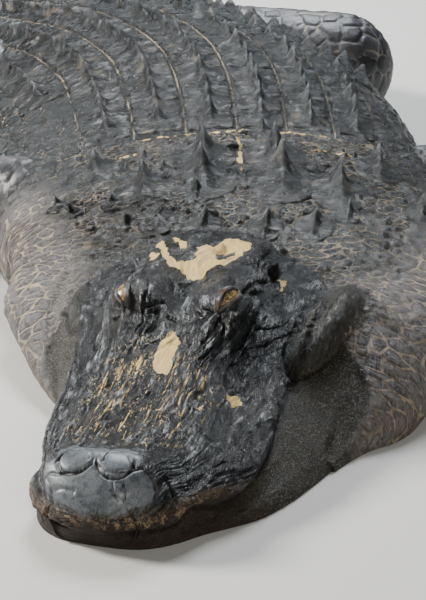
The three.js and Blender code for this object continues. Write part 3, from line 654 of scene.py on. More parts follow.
def body_detail(s, q, left, z, wobble, net):
    """The scales of the neck, flanks and tail, and the fields their colours follow. Seams are given in metres."""
    side = np.abs(q)
    belt = np.interp(s, belt_rows, np.arange(len(belt_rows)))
    waver = 0.4 * wobble
    net_edge, net_own = cells(s / net_length + waver, q / net_width + waver, 61, 0.8, 0.5)
    flank_edge, flank_own = cells(2 * belt + 0.1 * wobble, q / flank_width + 0.2 * wobble, 71, 0.45)
    bead_edge, bead_own = cells(s / bead_length + waver, q / bead_width + waver, 81, 0.95)
    net_edge, flank_edge, bead_edge = net_edge * net_length, flank_edge * flank_mean, bead_edge * bead_mean
    off_belt = np.abs(belt - np.floor(belt) - 0.5) * belt_length
    off_scale = np.abs(q / tail_scale - np.floor(q / tail_scale) - 0.5) * tail_scale
    whorl_edge = np.minimum(np.maximum(belt_length / 2 - off_belt, belt_seam_limit), 0.0174 - off_scale)

    on_tail = ease(1.78, 1.95, s)
    ragged_s = s + 0.012 * drift(q / 0.03, 0.5, 0.5, 19, 2)
    under_plates = ease(plated_half(s) + 0.02, plated_half(s) - 0.01, side) * ease(0.8, 0.83, ragged_s) * (1 - on_tail)
    nape = ease(0.26, 0.18, side) * ease(0.86, 0.8, s) * (1 - under_plates)
    edge = net_edge * net + flank_edge * (1 - net)
    edge = edge * (1 - on_tail) + whorl_edge * on_tail
    edge = np.where(nape > 0.5, bead_edge, edge)
    own = np.where(nape > 0.5, bead_own, np.where(net > 0.5, net_own, flank_own))

    scaled = (1 - under_plates) * (1 - nape)
    bulge = (0.0026 * net + 0.004 * (1 - net)) * (1 - on_tail) + 0.0022 * on_tail
    height = scaled * bulge * (ease(0, 0.008, edge) - 0.5) * (0.6 + 0.8 * own)
    height = height + nape * 0.0034 * (ease(0, 0.006, bead_edge) * (0.2 + 1.2 * bead_own**2) - 0.3)
    ripple = drift(s / 0.011, q / 0.05 + wobble, 0.5, 91, 2)
    height = height + (0.0013 + 0.0013 * nape) * ripple * (1 - 0.6 * net)
    height = height + 0.005 * drift(s / 0.06, q / 0.2, 0.5, 93, 1) * net
    height = height + 0.0008 * drift(s / 0.01, left / 0.01, z / 0.01, 95, 2)

    # Between the plates of the back the pale skin shows in long lines, and here and there across.
    width = column_width(s)
    column_seam = np.abs(q / width - np.rint(q / width)) * width
    row = (s - first_row) / row_pitch
    row_seam = np.abs(row - np.floor(row) - 0.5) * row_pitch
    opened = scatter(np.floor(row), np.rint(q / width - 0.5), 17) > 0.55
    plate_seam = np.minimum(column_seam, np.where(opened, row_pitch / 2 - row_seam, 0.01))
    edge = np.where(under_plates > 0.5, plate_seam, edge)
    return height, dict(seam=edge, own=own, under_plates=under_plates, nape=nape)


# Regions of the snout with bone-coloured flecks: place along and across, half length, half width and how square.
fleck_regions = [(0.17, -0.004, 0.1, 0.085, 4), (0.235, -0.026, 0.05, 0.02, 2), (0.21, 0.05, 0.028, 0.03, 2)]


def hide_detail(s, q, b, z, edge, points, normals):
    """The relief of the hide over its plain form, and the fields that its colours follow."""
    left = np.sign(q) * b
    levels = block_levels(s, b, z)
    head_level = np.minimum(np.minimum(levels[0], levels[1]), levels[2])
    head = ease(-0.02, 0.02, levels[3] - head_level) * ease(0.56, 0.53, s)
    rise, groove, lens = head_forms(points, normals, s, q)
    head = np.maximum(np.where(s < 0.24, 1, smoothed(head, 2)), lens)
    groove = smoothed(groove, 1) + crease_depth(s, q)
    wobble = drift(s / 0.05, left / 0.05, z / 0.05, 11, 2)
    net = ease(0.84, 0.7, s) * ease(0.19, 0.26, np.abs(q) - 0.3 * (s - 0.6)) * (1 - head)
    on_head, marks = head_detail(s, q, left, z, edge[:, None], wobble)
    on_body, scales = body_detail(s, q, left, z, wobble, net)
    height = rise - groove + head * on_head + (1 - head) * on_body
    bare = patch_field(s, q) + 0.35 * drift(s / 0.009, q / 0.0045, 0.5, 101, 3)
    flecks = sum(
        np.exp(-(((s - at) / length) ** power) - ((q - side) / width) ** power)
        for at, side, length, width, power in fleck_regions
    )
    # Painted shade: the scales are painted darker towards their sunk seams, besides each scale's own tone, and the head
    # is painted darker in its grooves and creases.
    scale_shade_and_tone = np.clip(0.25 + ease(0, 0.006, scales["seam"]) * 0.5 + 0.25 * scales["own"], 0, 1)
    fields = {
        "seam": np.where(head > 0.5, 0.02, scales["seam"] - 0.0004 * scales["under_plates"]),
        "relief_shading": np.clip(head * marks["relief_shading"] + (1 - head) * scale_shade_and_tone - 130 * groove, 0, 1),
        "smooth": marks["smooth"] * head,
        "granular": np.clip(marks["jaw"] + marks["rim"], 0, 1) * head * (1 - marks["smooth"]) * (1 - lens),
        "rim": marks["rim"] * head * (1 - marks["smooth"]),
        "flank": ease(0.012, 0.036, z),
        "low": ease(0.06, 0.01, z) * (1 - head),
        "mouth": marks["mouth"] * head,
        "bare": np.where((head > 0.3) | (s > 0.6), bare, -1),
        "flecks": flecks * (1 - marks["smooth"]) * head,
        "head": head,
        "net": net,
        "lens": lens * head,
        "nape": scales["nape"] * (1 - head),
    }
    return height, fields


across_count = 190
under_count = 5
behind_ball, lid_cover, ball_cover = 0.004, 0.002, 0.0014  # how the skin lies to the eyeball inside and round its slit
lowest, highest = (np.array(corner) for corner in solid_box)


def skin_grid(places):
    """The hide at these places along the spine: positions, spine and running coordinates, and colour fields."""
    b_rays, z_rays, runs = half_sections(places)
    edges = flat_edges(z_rays, runs)
    q = edges[:, None] * np.linspace(-1, 1, 2 * across_count + 1)
    b, z = np.empty(q.shape), np.empty(q.shape)
    for i in range(len(places)):
        b[i] = np.interp(np.abs(q[i]), runs[i], b_rays[i])
        z[i] = np.interp(np.abs(q[i]), runs[i], z_rays[i])
    s = np.broadcast_to(np.asarray(places)[:, None], q.shape)
    points = place(s, np.sign(q) * b, z)
    along, across = np.gradient(points, axis=0), np.gradient(points, axis=1)
    normals = np.cross(across, along)
    normals /= np.maximum(np.linalg.norm(normals, axis=-1, keepdims=True), 1e-9)
    height, fields = hide_detail(s, q, b, z, edges, points, normals)

    # The relief fades out at the floor and at the very tip of the snout, and the skin is drawn in around each eye.
    height = np.where(height > 0, height, height * ease(0, 0.004, s)) * ease(0, 0.003, z) * ease(0, 0.002, s)
    points = points + normals * height[..., None]
    for sign in sides.values():
        gap, reach = eye_gap(points, sign)
        middle = place(eye["at"], sign * eye["side"], eye["height"])
        held = eye["radius"] + np.where(gap < 0, -behind_ball * ease(0, -0.12, gap), lid_cover)
        pull = ease(0.55, 0.12, gap) * ease(0.05, 0.036, reach)
        target = np.maximum(reach + (held - reach) * pull, np.where(gap > 0.02, eye["radius"] + ball_cover, 0))
        points = middle + (points - middle) * (target / np.maximum(reach, 1e-6))[..., None]
        # Painted shade: the hide is painted dark in the recess round the opening of each eye, by the same field as the
        # groove of the mouth.
        fields["mouth"] = np.maximum(fields["mouth"], ease(0.16, 0.0, gap) * ease(0.034, 0.028, reach))

    # The grid is closed below by a flat strip on the floor, or straight across where the head is off the floor.
    grounded = z[:, -1] < 0.0005
    points[grounded, 0, 2] = points[grounded, -1, 2] = 0
    right, left = points[:, :1], points[:, -1:]
    steps = np.linspace(0, 1, under_count + 2)[1:][None, :, None]
    points = np.concatenate([points, left + (right - left) * steps], axis=1)
    for name, field in fields.items():
        fields[name] = np.concatenate([field, np.repeat(field[:, -1:], under_count + 1, axis=1)], axis=1)
    q = np.concatenate([q, q[:, -1:] + 0.01 * np.arange(1, under_count + 2)], axis=1)
    s = np.broadcast_to(np.asarray(places)[:, None], q.shape)
    return np.clip(points, lowest, highest), np.stack([s, q], axis=-1), fields


def grid_object(name, points, surface, fields, wrapped=True):
    """One object of smooth closed shells, each made of a grid that is rolled up, or turned down at its border."""
    if points.ndim == 3:
        points, surface = points[None], surface[None]
        fields = {field: values[None] for field, values in fields.items()}
    count, rows, columns = points.shape[:3]
    bm = bmesh.new()
    bm.loops.layers.uv.new("surface")
    for i in range(count):
        made = bmesh.ops.create_grid(
            bm, x_segments=columns - 1, y_segments=rows - 1, size=0.5, matrix=Matrix.Translation((2 * i, 0, 0)))
        if wrapped:
            half_step = 0.5 / (columns - 1)
            last = [vert for vert in made["verts"] if vert.co.x > 2 * i + 0.5 - half_step]
            for vert in last:
                vert.co.x = 2 * i - 0.5
            first = [vert for vert in made["verts"] if vert.co.x < 2 * i - 0.5 + half_step]
            bmesh.ops.remove_doubles(bm, verts=first, dist=half_step / 10)
    filled = bmesh.ops.holes_fill(bm, edges=[edge for edge in bm.edges if edge.is_boundary], sides=0)
    caps = set(filled["faces"])
    for face in bm.faces:
        face.smooth = face not in caps
    for face in caps:
        for edge in face.edges:
            edge.smooth = False
    mesh = bpy.data.meshes.new(name)
    bm.to_mesh(mesh)
    bm.free()

    flat = np.empty(3 * len(mesh.vertices))
    mesh.vertices.foreach_get("co", flat)
    flat = flat.reshape(-1, 3)
    item = np.rint(flat[:, 0] / 2).astype(int)
    column = np.rint((flat[:, 0] - 2 * item + 0.5) * (columns - 1)).astype(int)
    row = np.rint((flat[:, 1] + 0.5) * (rows - 1)).astype(int)
    mesh.vertices.foreach_set("co", points[item, row, column].ravel())
    for field, values in fields.items():
        layer = mesh.attributes.new(field, "FLOAT", "POINT")
        layer.data.foreach_set("value", values[item, row, column].astype(np.float32))
    corners = np.empty(len(mesh.loops), np.int32)
    mesh.loops.foreach_get("vertex_index", corners)
    mesh.uv_layers["surface"].data.foreach_set("uv", surface[item, row, column][corners].astype(np.float32).ravel())
    bm = bmesh.new()
    bm.from_mesh(mesh)
    bmesh.ops.recalc_face_normals(bm, faces=bm.faces)
    bm.to_mesh(mesh)
    bm.free()
    made = bpy.data.objects.new(name, mesh)
    bpy.context.scene.collection.objects.link(made)
    return made


def feed(socket, value):
    """Gives a socket a tone, a colour or a number."""
    if isinstance(value, Tone):
        socket.id_data.links.new(value.socket, socket)
    else:
        socket.default_value = (*value, 1) if isinstance(value, tuple) else value


def combined(operation, *values):
    """Arithmetic on tones and numbers, as a new tone."""
    tree = next(value.socket.id_data for value in values if isinstance(value, Tone))
    node = tree.nodes.new("ShaderNodeMath")
    node.operation = operation
    for socket, value in zip(node.inputs, values):
        feed(socket, value)
    return Tone(node.outputs[0])


class Tone:
    """A value or a colour that varies over a piece, as an output in the node tree of its material."""

    def __init__(self, socket):
        self.socket = socket

    def __add__(self, other):
        return combined("ADD", self, other)

    def __sub__(self, other):
        return combined("SUBTRACT", self, other)

    def __rsub__(self, other):
        return combined("SUBTRACT", other, self)

    def __mul__(self, other):
        return combined("MULTIPLY", self, other)

    def __abs__(self):
        return combined("ABSOLUTE", self)

    def larger(self, other):
        return combined("MAXIMUM", self, other)

    def between(self, low, high, to_low=0.0, to_high=1.0):
        """The range from low to high spread smoothly over another range."""
        node = self.socket.id_data.nodes.new("ShaderNodeMapRange")
        node.interpolation_type = "SMOOTHSTEP"
        sockets = ("Value", "From Min", "From Max", "To Min", "To Max")
        for socket, value in zip(sockets, (self, low, high, to_low, to_high)):
            feed(node.inputs[socket], value)
        return Tone(node.outputs["Result"])

    def mix(self, first, second):
        """The first colour where this is 0 and the second where it is 1."""
        node = self.socket.id_data.nodes.new("ShaderNodeMix")
        node.data_type = "RGBA"
        for socket, value in ((node.inputs["Factor"], self), (node.inputs[6], first), (node.inputs[7], second)):
            feed(socket, value)
        return Tone(node.outputs[2])


class Finish:
    """A material in the making. Its patterns follow the piece's own map in metres, or its place in the frame."""

    def __init__(self, name):
        self.material = bpy.data.materials.new(name)
        self.material.use_nodes = True
        self.nodes, self.links = self.material.node_tree.nodes, self.material.node_tree.links
        self.shader = self.nodes["Principled BSDF"]
        own_map = self.nodes.new("ShaderNodeUVMap")
        own_map.uv_map = "surface"
        self.surface = own_map.outputs["UV"]
        self.body = self.nodes.new("ShaderNodeTexCoord").outputs["Object"]

    def field(self, name):
        """A field that is stored in the piece's mesh."""
        node = self.nodes.new("ShaderNodeAttribute")
        node.attribute_name = name
        return Tone(node.outputs["Fac"])

    def noise(self, vector, stretch, detail, roughness, distortion):
        mapping = self.nodes.new("ShaderNodeMapping")
        mapping.inputs["Scale"].default_value = stretch
        self.links.new(vector, mapping.inputs["Vector"])
        pattern = self.nodes.new("ShaderNodeTexNoise")
        for socket, value in (("Scale", 1), ("Detail", detail), ("Roughness", roughness), ("Distortion", distortion)):
            pattern.inputs[socket].default_value = value
        self.links.new(mapping.outputs["Vector"], pattern.inputs["Vector"])
        return Tone(pattern.outputs["Fac"])

    def on_surface(self, along, across, detail, roughness, distortion=0.0):
        """Noise on the piece's own map, with so many waves to the metre along and across."""
        return self.noise(self.surface, (along, across, 1), detail, roughness, distortion)

    def in_body(self, waves, detail, roughness, distortion=0.0):
        """Noise in the piece's place in the frame, with so many waves to the metre each way."""
        return self.noise(self.body, (waves, waves, waves), detail, roughness, distortion)

    def granules(self, per_metre):
        """Small rounded granules, 0 between them and higher towards the middle of each."""
        pattern = self.nodes.new("ShaderNodeTexVoronoi")
        pattern.feature = "DISTANCE_TO_EDGE"
        pattern.inputs["Scale"].default_value = per_metre
        self.links.new(self.body, pattern.inputs["Vector"])
        return Tone(pattern.outputs["Distance"])

    def paint(self, colour):
        feed(self.shader.inputs["Base Color"], colour)

    def emboss(self, height, depth):
        """Fine relief, on top of the relief that the mesh has."""
        node = self.nodes.new("ShaderNodeBump")
        node.inputs["Strength"].default_value = 1
        node.inputs["Distance"].default_value = depth
        feed(node.inputs["Height"], height)
        self.links.new(node.outputs["Normal"], self.shader.inputs["Normal"])


def dress(piece, material, slot, *nodes):
    """Gives a piece its material, and lays it over the solids that it stands for."""
    piece.data.materials.append(material)
    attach(piece, "root")
    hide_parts(*nodes)


black_hide = (0.003, 0.0034, 0.0038)
slate_hide = (0.027, 0.03, 0.033)
# Painted highlight for the ridges of the hide and the keels and ribs of the plates.
painted_highlight = (0.4, 0.42, 0.44)
shield_hide = (0.12, 0.132, 0.143)
shield_shade = (0.06, 0.068, 0.075)
shield_pores = (0.02, 0.023, 0.027)
back_hide = (0.034, 0.038, 0.04)
net_hide = (0.19, 0.178, 0.172)
olive_hide = (0.05, 0.049, 0.036)
jaw_hide = (0.018, 0.0175, 0.0145)
jaw_beads = (0.17, 0.145, 0.1)
belly_hide = (0.17, 0.135, 0.1)
brown_lip = (0.028, 0.017, 0.009)
tan_lip = (0.3, 0.21, 0.12)
pale_seam = (0.62, 0.5, 0.34)
bare_bone = (0.95, 0.68, 0.25)
bone_shade = (0.5, 0.38, 0.22)
# Painted shade for the groove of the mouth and the openings of the eyes.
mouth_dark = (0.008, 0.005, 0.004)


def hide_material():
    finish = Finish("wet_hide")
    fine_grain = finish.on_surface(80, 420, 6, 0.7, 0.8)
    cross_grain = finish.on_surface(330, 60, 6, 0.65, 0.6)
    mottle = finish.in_body(26, 5, 0.6)
    specks = finish.in_body(480, 3, 0.6)
    clouds = finish.in_body(5, 3, 0.5)
    crumbs = finish.in_body(110, 4, 0.6)
    on_head, smooth, granular, net = (finish.field(name) for name in ("head", "smooth", "granular", "net"))

    # Wrinkles are the zero lines of two noises, and the hide is painted dark along them as shade. The grain runs along
    # the head, and across the rest of the body.
    wide, narrow = (
        abs(finish.on_surface(along, across, 3, 0.5, 1.4) - 0.5).between(0, 0.035)
        for along, across in ((42, 190), (110, 420))
    )
    wrinkles = (wide * narrow).larger(smooth)
    grain = (fine_grain - 0.5) * on_head + (cross_grain - 0.5) * (1 - on_head)
    relief_shading = finish.field("relief_shading") + grain * 1.6 - (1 - wrinkles) * 0.45

    # Painted light: black as shade in the hollows, creases and wrinkles, slate on the rises, a pale painted highlight
    # on the highest ridges, and on the body darker towards the seams of the scales.
    colour = relief_shading.between(0.25, 0.55).mix(black_hide, slate_hide)
    colour = (relief_shading.between(0.56, 0.84) * mottle.between(0.36, 0.58)).mix(colour, painted_highlight)
    colour = (1 - on_head).mix(colour, relief_shading.between(0.15, 0.6).mix(black_hide, back_hide))
    colour = (net * relief_shading.between(0.1, 0.6, 0.25, 1)).mix(colour, net_hide)
    colour = (finish.field("lens") * fine_grain.between(0.3, 0.65)).mix(colour, olive_hide)
    colour = granular.mix(colour, specks.between(0.5, 0.64).mix(jaw_hide, jaw_beads))
    stain = finish.field("flank") * 0.25 + (crumbs + specks * 0.7)
    colour = finish.field("rim").mix(colour, stain.between(1.02, 1.3).mix(brown_lip, tan_lip))
    colour = (finish.field("low") * mottle.between(0.35, 0.6, 0.1, 0.5)).mix(colour, belly_hide)
    shield = crumbs.between(0.35, 0.6).mix(shield_shade, shield_hide)
    shield = specks.between(0.34, 0.42).mix(shield_pores, shield)
    colour = (smooth * relief_shading.between(0.2, 0.5)).mix(colour, shield)

    seam = (finish.field("seam") + (mottle - 0.5) * 0.0015).between(0.0003, 0.001, 1, 0)
    seam = seam * clouds.between(0.38, 0.6, 0.25, 0.95) * crumbs.between(0.36, 0.52, 0.35, 1)
    colour = (seam * finish.field("nape").between(0, 1, 1, 0.5)).mix(colour, pale_seam)

    # Bare patches, and in the region of the flecks long streaks and short spots of the same bone colour.
    bare = (finish.field("bare") + (fine_grain - 0.5) * 0.6).between(0, 0.05)
    fleck_region = finish.field("flecks")
    streaks = (finish.on_surface(22, 230, 3, 0.55, 0.4) + fleck_region.between(1, 2) * 0.1).between(0.61, 0.64)
    spots = finish.on_surface(130, 190, 2, 0.5, 1.2).between(0.63, 0.67)
    flecks = streaks.larger(spots) * fleck_region.between(0.4, 0.8)
    bare = bare.larger(flecks * relief_shading.between(0.2, 0.5))
    colour = bare.mix(colour, specks.between(0.25, 0.45).mix(bone_shade, bare_bone))
    # Painted shade: near black along the groove of the mouth and round the openings of the eyes.
    finish.paint(finish.field("mouth").mix(colour, mouth_dark))

    wetness = mottle.between(0.3, 0.7, 0.17, 0.32)
    roughness = wetness + net * 0.2 + granular * 0.3 + bare.larger(smooth) * 0.15
    feed(finish.shader.inputs["Roughness"], roughness)
    finish.shader.inputs["Specular IOR Level"].default_value = 0.5
    relief = (grain + wrinkles * 0.3 + mottle * 0.5) * smooth.between(0, 1, 1, 0.08)
    beads = finish.granules(300).between(0, 0.3) * granular
    finish.emboss(relief + beads * 0.2, 0.0032)
    return finish.material


wet_hide = hide_material()
nose_turns = np.linspace(0, np.pi / 2, 80)
nose_places = snout_round * (1 - np.cos(nose_turns))
skin_lengths = [
    ("skin_snout", np.concatenate([nose_places[:-1], np.linspace(snout_round, 0.19, 112)]), ["head", "lower_jaw"]),
    ("skin_cheeks", np.linspace(0.19, 0.38, 190), ["head", "lower_jaw"]),
    ("skin_crown", np.linspace(0.38, 0.58, 190), ["head", "lower_jaw", "neck"]),
    ("skin_neck", np.linspace(0.58, 0.86, 200), ["neck", "torso_front"]),
    ("skin_torso_front", np.linspace(0.86, 1.36, 230), ["torso_front", "torso_middle"]),
    ("skin_torso_rear", np.linspace(1.36, 1.88, 200), ["torso_middle", "torso_rear"]),
    ("skin_tail_base", np.linspace(1.88, 2.7, 200), ["tail_1", "tail_2", "tail_3"]),
    ("skin_tail_end", np.linspace(2.7, total_length, 200), ["tail_3", "tail_4", "tail_5", "tail_6"]),
]
for name, places, nodes in skin_lengths:
    points, surface, fields = skin_grid(places)
    dress(grid_object(name, points, surface, fields), wet_hide, "back_skin", *nodes)


# Eyes: wet golden-brown balls set deep under the brows, each with an upright slit pupil. Two thick lids, half closed,
# run round the tilted opening and hold the ball in the skin.
iris_dark = (0.03, 0.016, 0.006)
iris_gold = (0.55, 0.38, 0.17)
iris_pale = (0.75, 0.58, 0.34)
pupil_black = (0.003, 0.003, 0.003)
lid_stain = (0.11, 0.06, 0.03)


def eye_material():
    finish = Finish("wet_eye")
    veins = finish.in_body(420, 4, 0.7, 1.5)
    colour = veins.between(0.4, 0.6).mix(iris_dark, iris_gold)
    colour = veins.between(0.62, 0.7).mix(colour, iris_pale)
    finish.paint(finish.field("pupil").between(0, 0.05).mix(colour, pupil_black))
    finish.shader.inputs["Roughness"].default_value = 0.24
    return finish.material


def lid_material():
    finish = Finish("lid_skin")
    folds = finish.on_surface(60, 900, 4, 0.6, 0.5)
    # Painted shade: black in the hollows of the folds that the bump gives, slate on their crests.
    colour = folds.between(0.35, 0.65).mix(black_hide, slate_hide)
    finish.paint(finish.in_body(90, 4, 0.6).between(0.52, 0.62).mix(colour, lid_stain))
    finish.shader.inputs["Roughness"].default_value = 0.3
    finish.emboss(folds, 0.0008)
    return finish.material


wet_eye, lid_skin = eye_material(), lid_material()
lid_steps, lid_around, lid_thick = 72, 12, 0.0019
for side_name, sign in sides.items():
    middle = place(eye["at"], sign * eye["side"], eye["height"])
    facing, slit, across_slit = eye_axes(sign)
    latitude, turns = np.meshgrid(np.linspace(0.03, np.pi - 0.03, 40), np.linspace(0, 2 * np.pi, 65), indexing="ij")
    ball = np.stack([np.sin(latitude) * np.cos(turns), np.sin(latitude) * np.sin(turns), np.cos(latitude)], axis=-1)
    directions = ball[..., :1] * slit + ball[..., 1:2] * across_slit + ball[..., 2:] * facing
    pupil_shape = 0.05 * np.sqrt(np.maximum(1 - (ball[..., 1] / 0.62) ** 2, 0)) - np.abs(ball[..., 0])
    pupil_shape = np.where(ball[..., 2] > 0, pupil_shape, -1)
    points = middle + eye["radius"] * directions
    surface = np.stack([latitude, turns], axis=-1)
    eyeball = grid_object("eye_ball_" + side_name, points, surface, {"pupil": pupil_shape})
    dress(eyeball, wet_eye, "eye", "eye_" + side_name)

    t = np.linspace(0, 2 * np.pi, lid_steps + 1)[:, None]
    length = eye_half_length * np.cos(t)
    height = eye_half_height * np.maximum(1 - 0.7 * np.cos(t) ** 2, 0.25) * np.sin(t)
    outward = (
        facing * np.cos(length) * np.cos(height) + slit * np.sin(length) * np.cos(height) + across_slit * np.sin(height)
    )
    run = np.gradient(outward, axis=0)
    run /= np.linalg.norm(run, axis=-1, keepdims=True)
    beside = np.cross(run, outward)
    turn = np.linspace(0, 2 * np.pi, lid_around + 1)[None, :, None]
    thick = lid_thick * (1 + 0.5 * np.maximum(np.sin(t), 0) + 0.12 * np.sin(9 * t + sign))[:, :, None]
    rim = middle + (eye["radius"] + 0.0006) * outward[:, None]
    points = rim + thick * (np.cos(turn) * outward[:, None] + 1.5 * np.sin(turn) * beside[:, None])
    surface = np.stack(np.broadcast_arrays(0.03 * t, 0.004 * turn[..., 0]), axis=-1)
    dress(grid_object("lids_" + side_name, points, surface, {}), lid_skin, "back_skin", "head")


# Nape plates: bony plates under thick horn, grown into the skin of the neck in two rows of tall ridged ones with
# smaller ones outside them. Each has one high keel that leans to the rear, with fine ribs running down its flanks.
class Hide:
    """The plain form of the hide, tabled along the spine so that plates can be laid on it."""

    step = 0.006

    def __init__(self):
        self.s = np.arange(0, total_length + self.step / 2, self.step)
        self.b, self.z, self.run = half_sections(self.s)

    def at(self, s, q):
        """The point on the hide at s along the spine and q across from the middle of the back."""
        s, q = np.broadcast_arrays(np.asarray(s, float), np.asarray(q, float))
        row = np.clip(s / self.step, 0, len(self.s) - 1.001)
        i = row.astype(int)
        ends = []
        for k in (i, i + 1):
            b, z = np.empty(k.shape), np.empty(k.shape)
            for one in np.unique(k):
                pick = k == one
                b[pick] = np.interp(np.abs(q[pick]), self.run[one], self.b[one])
                z[pick] = np.interp(np.abs(q[pick]), self.run[one], self.z[one])
            ends.append((b, z))
        (b0, z0), (b1, z1) = ends
        return place(s, np.sign(q) * (b0 + (b1 - b0) * (row - i)), z0 + (z1 - z0) * (row - i))

    def raised(self, s, q, up):
        """The same point, raised off the hide by up along its normal."""
        span = 0.004
        along = self.at(s + span, q) - self.at(s - span, q)
        across = self.at(s, q + span) - self.at(s, q - span)
        normal = np.cross(across, along)
        normal /= np.linalg.norm(normal, axis=-1, keepdims=True)
        return self.at(s, q) + normal * up[..., None]


hide = Hide()
plate_spots = np.concatenate([[-1, -0.97], np.linspace(-0.9, 0.9, 17), [0.97, 1]])


rib_spacing, rib_height = 0.0046, 0.0018
crumple_size, crumple_height = 0.016, 0.002


def plates_object(name, plates, seed, spots_across=plate_spots, sharpness=0.13, root=0.007, rounded=False):
    """Keeled horny plates laid on the hide, each climbing along its keel to the rear and ribbed down its flanks."""
    length, width, rim, front, rear, at, side = (
        np.array([plate[key] for plate in plates])[:, None, None]
        for key in ("length", "width", "rim", "front", "rear", "at", "side")
    )
    number = np.arange(len(plates))[:, None, None]
    along, across = plate_spots[None, :, None], spots_across[None, None, :]
    if rounded:
        along, across = along * np.sqrt(1 - across**2 / 2), across * np.sqrt(1 - along**2 / 2)

    # The keel is bent a little, climbs to its peak, leans to the rear there and falls off steeply to both sides.
    bend = 0.12 * (scatter(number, 1, seed) - 0.5)
    keel_at = bend * along * (1 - along)
    off_keel = np.abs(across - keel_at)
    peak = 0.5 + 0.3 * scatter(number, 2, seed)
    climb = ease(-1.05, 1, (along + 1) / (peak + 1) * 2 - 1)
    crest = front * ease(-1, -0.6, along) + (rear - front) * climb**2
    crest = np.where(along > peak, crest * (1 - 0.75 * ease(peak, 1.0, along)), crest)
    lean = 0.2 * length * climb * mound(off_keel / 0.25) * ease(1.0, 0.9, along)
    s = at + along * length / 2 + lean
    q = side + across * width / 2 * (1 - 0.07 * along**2)
    fall = np.exp(-((off_keel / (sharpness + 0.08 * (1 - climb))) ** 1.3))
    slope = 0.2 * np.maximum(1 - off_keel, 0) ** 1.2

    # Ribs sweep down its flanks, and the whole plate is crumpled and sunk into the skin by its root.
    sweep = (along * length / 2 - 0.16 * off_keel * width / 2 * (1 + scatter(number, 3, seed))) / rib_spacing
    ribs = drift(sweep + 0 * q, off_keel * width / 0.05 + 7 * number, 0.5 * np.sign(across - keel_at), seed, 2)
    crumple = drift(along * length / crumple_size + 31 * number, across * width / crumple_size, 0.5, seed + 5, 2)
    if rounded:
        out = np.hypot(along, across)
        inner = ease(1.0, 0.45, out)
    else:
        out = np.maximum(np.abs(along), np.abs(across))
        inner = ease(1.0, 0.88, np.abs(along)) * ease(1.0, 0.88, np.abs(across))
    up = rim * ease(1.0, 0.9, out) + (crest - rim) * (fall * (1 - slope) + slope) * inner
    up = up + np.minimum(2 * inner, 1) * (rib_height * ribs * (1 - 0.5 * fall) + crumple_height * crumple)
    up = np.where(out > 0.955, -0.1 * root, up) if rounded else np.maximum(up, 0.0004)
    up = np.where(out > 0.99, -root, up)
    points = np.clip(hide.raised(s, q, up), lowest, highest)
    # Fields for painted light: the share of the keel's height, for a painted highlight on its tall parts, and the ribs
    # and crumples, for painted shade in their hollows and highlight on their crests.
    high = np.clip(up / (rear + tiny), 0, 1)
    relief_shading = np.clip(0.4 + 0.45 * ribs + 0.25 * crumple, 0, 1)
    surface = np.stack(np.broadcast_arrays(s, q), axis=-1)
    return grid_object(name, points, surface, {"relief_shading": relief_shading, "high": high}, wrapped=False)


pale_horn = (0.3, 0.26, 0.19)


def plate_material():
    finish = Finish("keeled_horn")
    fibres = finish.on_surface(420, 45, 6, 0.65, 0.5)
    mottle = finish.in_body(40, 5, 0.6)
    clouds = finish.in_body(7, 3, 0.5)
    # Painted light: black as shade in the hollows of the ribs, and a pale painted highlight on the tops of the keels
    # and on the ribs' crests.
    relief_shading = finish.field("relief_shading") + (fibres - 0.5)
    colour = relief_shading.between(0.25, 0.7).mix(black_hide, back_hide)
    high = finish.field("high").between(0.55, 1)
    colour = (high * mottle.between(0.4, 0.6, 0.1, 0.5)).mix(colour, painted_highlight)
    rib_highlight = relief_shading.between(0.6, 0.85) * mottle.between(0.4, 0.58)
    colour = (rib_highlight * 0.5).mix(colour, painted_highlight)
    pale = mottle.between(0.56, 0.66) * clouds.between(0.45, 0.65, 0.05, 0.55)
    finish.paint(pale.mix(colour, pale_horn))
    feed(finish.shader.inputs["Roughness"], mottle.between(0.3, 0.7, 0.24, 0.38))
    finish.shader.inputs["Specular IOR Level"].default_value = 0.5
    finish.emboss(fibres + mottle * 0.5, 0.0055)
    return finish.material


keeled_horn = plate_material()


def pair(**shape):
    """The same plate on both sides of the back."""
    return [dict(shape, side=sign * shape["side"]) for sign in sides.values()]


nape = [
    *pair(at=0.566, side=0.04, length=0.05, width=0.05, rim=0.0005, front=0.004, rear=0.017),
    *pair(at=0.574, side=0.1, length=0.05, width=0.054, rim=0.0005, front=0.004, rear=0.014),
    *pair(at=0.664, side=0.052, length=0.1, width=0.1, rim=0.0005, front=0.006, rear=0.042),
    *pair(at=0.65, side=0.128, length=0.086, width=0.084, rim=0.0005, front=0.006, rear=0.032),
    *pair(at=0.733, side=0.048, length=0.09, width=0.094, rim=0.0005, front=0.006, rear=0.036),
    *pair(at=0.728, side=0.19, length=0.076, width=0.074, rim=0.0005, front=0.005, rear=0.026),
]
for i in range(34):
    at, side = 0.55 + 0.26 * float(scatter(i, 1, 2)), 0.25 * (2 * float(scatter(i, 2, 2)) - 1)
    if all(math.hypot(at - plate["at"], side - plate["side"]) > 0.033 for plate in nape):
        size = 0.026 + 0.022 * float(scatter(i, 3, 2))
        nape.append(dict(at=at, side=side, length=size, width=size, rim=0.0005, front=0.002, rear=0.4 * size))
nape_plates = plates_object("nape_plates", nape, 3, sharpness=0.14, rounded=True)
dress(nape_plates, keeled_horn, "back_skin", "neck", "torso_front")


